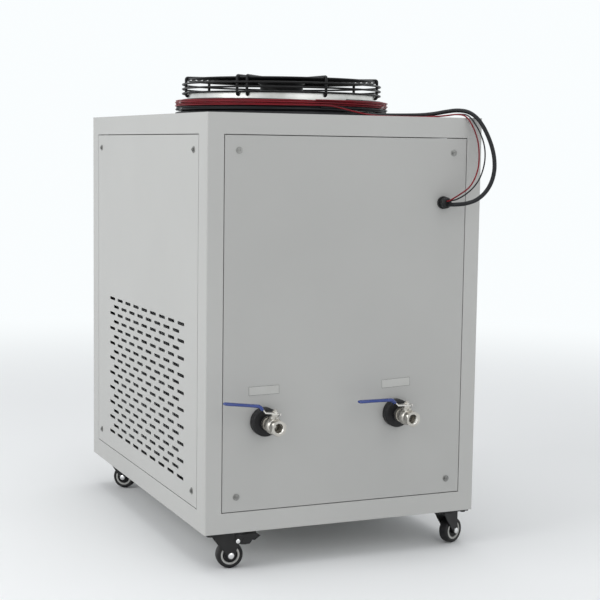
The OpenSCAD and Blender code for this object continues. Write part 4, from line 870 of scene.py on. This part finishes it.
BACKDROP = (0.955, 0.985, 0.995, 1)
SKY_COLOUR = (0.96, 0.98, 1, 1)
SKY = 0.55
FLOOR_HALF = 40
FLOOR_Z = -0.0005
# Distances from the machine between which the floor fades into the backdrop
FADE_FROM = 1.2
FADE_TO = 4.5
LAMP_AIM = (0, 0, 0.5)


def lamp(name, place, size, power):
    """A square white lamp that points at the machine."""
    data = bpy.data.lights.new(name, "AREA")
    data.shape = "SQUARE"
    data.size = size
    data.energy = power
    light = linked(name, data)
    light.location = place
    light.rotation_euler = (Vector(LAMP_AIM) - Vector(place)).to_track_quat("-Z", "Y").to_euler()


def mixed(tree, factor, first, second):
    """A shader that goes from the first to the second by the factor."""
    mix = tree.nodes.new("ShaderNodeMixShader")
    tree.links.new(factor, mix.inputs["Fac"])
    tree.links.new(first, mix.inputs[1])
    tree.links.new(second, mix.inputs[2])
    return mix.outputs["Shader"]


def seen_directly(tree):
    """1 for rays from the camera and for those that gloss and glass send on, else 0."""
    rays = tree.nodes.new("ShaderNodeLightPath")
    total = rays.outputs["Is Camera Ray"]
    for name in ("Is Glossy Ray", "Is Transmission Ray"):
        either = tree.nodes.new("ShaderNodeMath")
        either.operation = "MAXIMUM"
        tree.links.new(total, either.inputs[0])
        tree.links.new(rays.outputs[name], either.inputs[1])
        total = either.outputs["Value"]
    return total


def make_world():
    """A soft sky for the light, and a pale backdrop where it is seen."""
    world = bpy.data.worlds.new("studio")
    bpy.context.scene.world = world
    world.use_nodes = True
    tree = world.node_tree
    soft = tree.nodes["Background"]
    soft.inputs["Color"].default_value = SKY_COLOUR
    soft.inputs["Strength"].default_value = SKY
    seen = tree.nodes.new("ShaderNodeBackground")
    seen.inputs["Color"].default_value = BACKDROP
    both = mixed(tree, seen_directly(tree), soft.outputs["Background"], seen.outputs["Background"])
    tree.links.new(both, tree.nodes["World Output"].inputs["Surface"])


def make_floor():
    """A pale floor that keeps the shadow and fades into the backdrop far from the machine."""
    bm = bmesh.new()
    bmesh.ops.create_grid(bm, x_segments=1, y_segments=1, size=FLOOR_HALF)
    bmesh.ops.translate(bm, vec=(0, 0, FLOOR_Z), verts=bm.verts)
    mesh = bpy.data.meshes.new("floor")
    bm.to_mesh(mesh)
    bm.free()
    floor = linked("floor", mesh)
    material = finish(
        "pale_floor", (0.90, 0.91, 0.915), (0.88, 0.89, 0.895),
        rough=0.8, broad=0.5, grain=60, bump=0.02, specular=0.1,
    )  # fmt: skip
    mesh.materials.append(material)
    tree = material.node_tree
    place = tree.nodes.new("ShaderNodeTexCoord")
    reach = tree.nodes.new("ShaderNodeVectorMath")
    reach.operation = "LENGTH"
    tree.links.new(place.outputs["Object"], reach.inputs[0])
    fade = tree.nodes.new("ShaderNodeMapRange")
    fade.interpolation_type = "SMOOTHSTEP"
    fade.inputs["From Min"].default_value = FADE_FROM
    fade.inputs["From Max"].default_value = FADE_TO
    tree.links.new(reach.outputs["Value"], fade.inputs["Value"])
    gate = tree.nodes.new("ShaderNodeMath")
    gate.operation = "MULTIPLY"
    tree.links.new(fade.outputs["Result"], gate.inputs[0])
    tree.links.new(seen_directly(tree), gate.inputs[1])
    glow = tree.nodes.new("ShaderNodeEmission")
    glow.inputs["Color"].default_value = BACKDROP
    paint = tree.nodes["Principled BSDF"].outputs["BSDF"]
    both = mixed(tree, gate.outputs["Value"], paint, glow.outputs["Emission"])
    tree.links.new(both, tree.nodes["Material Output"].inputs["Surface"])


def make_studio():
    """Plain display colours, three lamps, the sky and the floor."""
    bpy.context.scene.view_settings.view_transform = "Standard"
    lamp("side_lamp", (-4.2, -0.6, 2.6), size=3.0, power=77)
    lamp("front_lamp", (0.6, -4.6, 2.6), size=3.0, power=37)
    lamp("top_lamp", (0.2, 0.2, 4.5), size=3.5, power=60)
    make_world()
    make_floor()


make_studio()
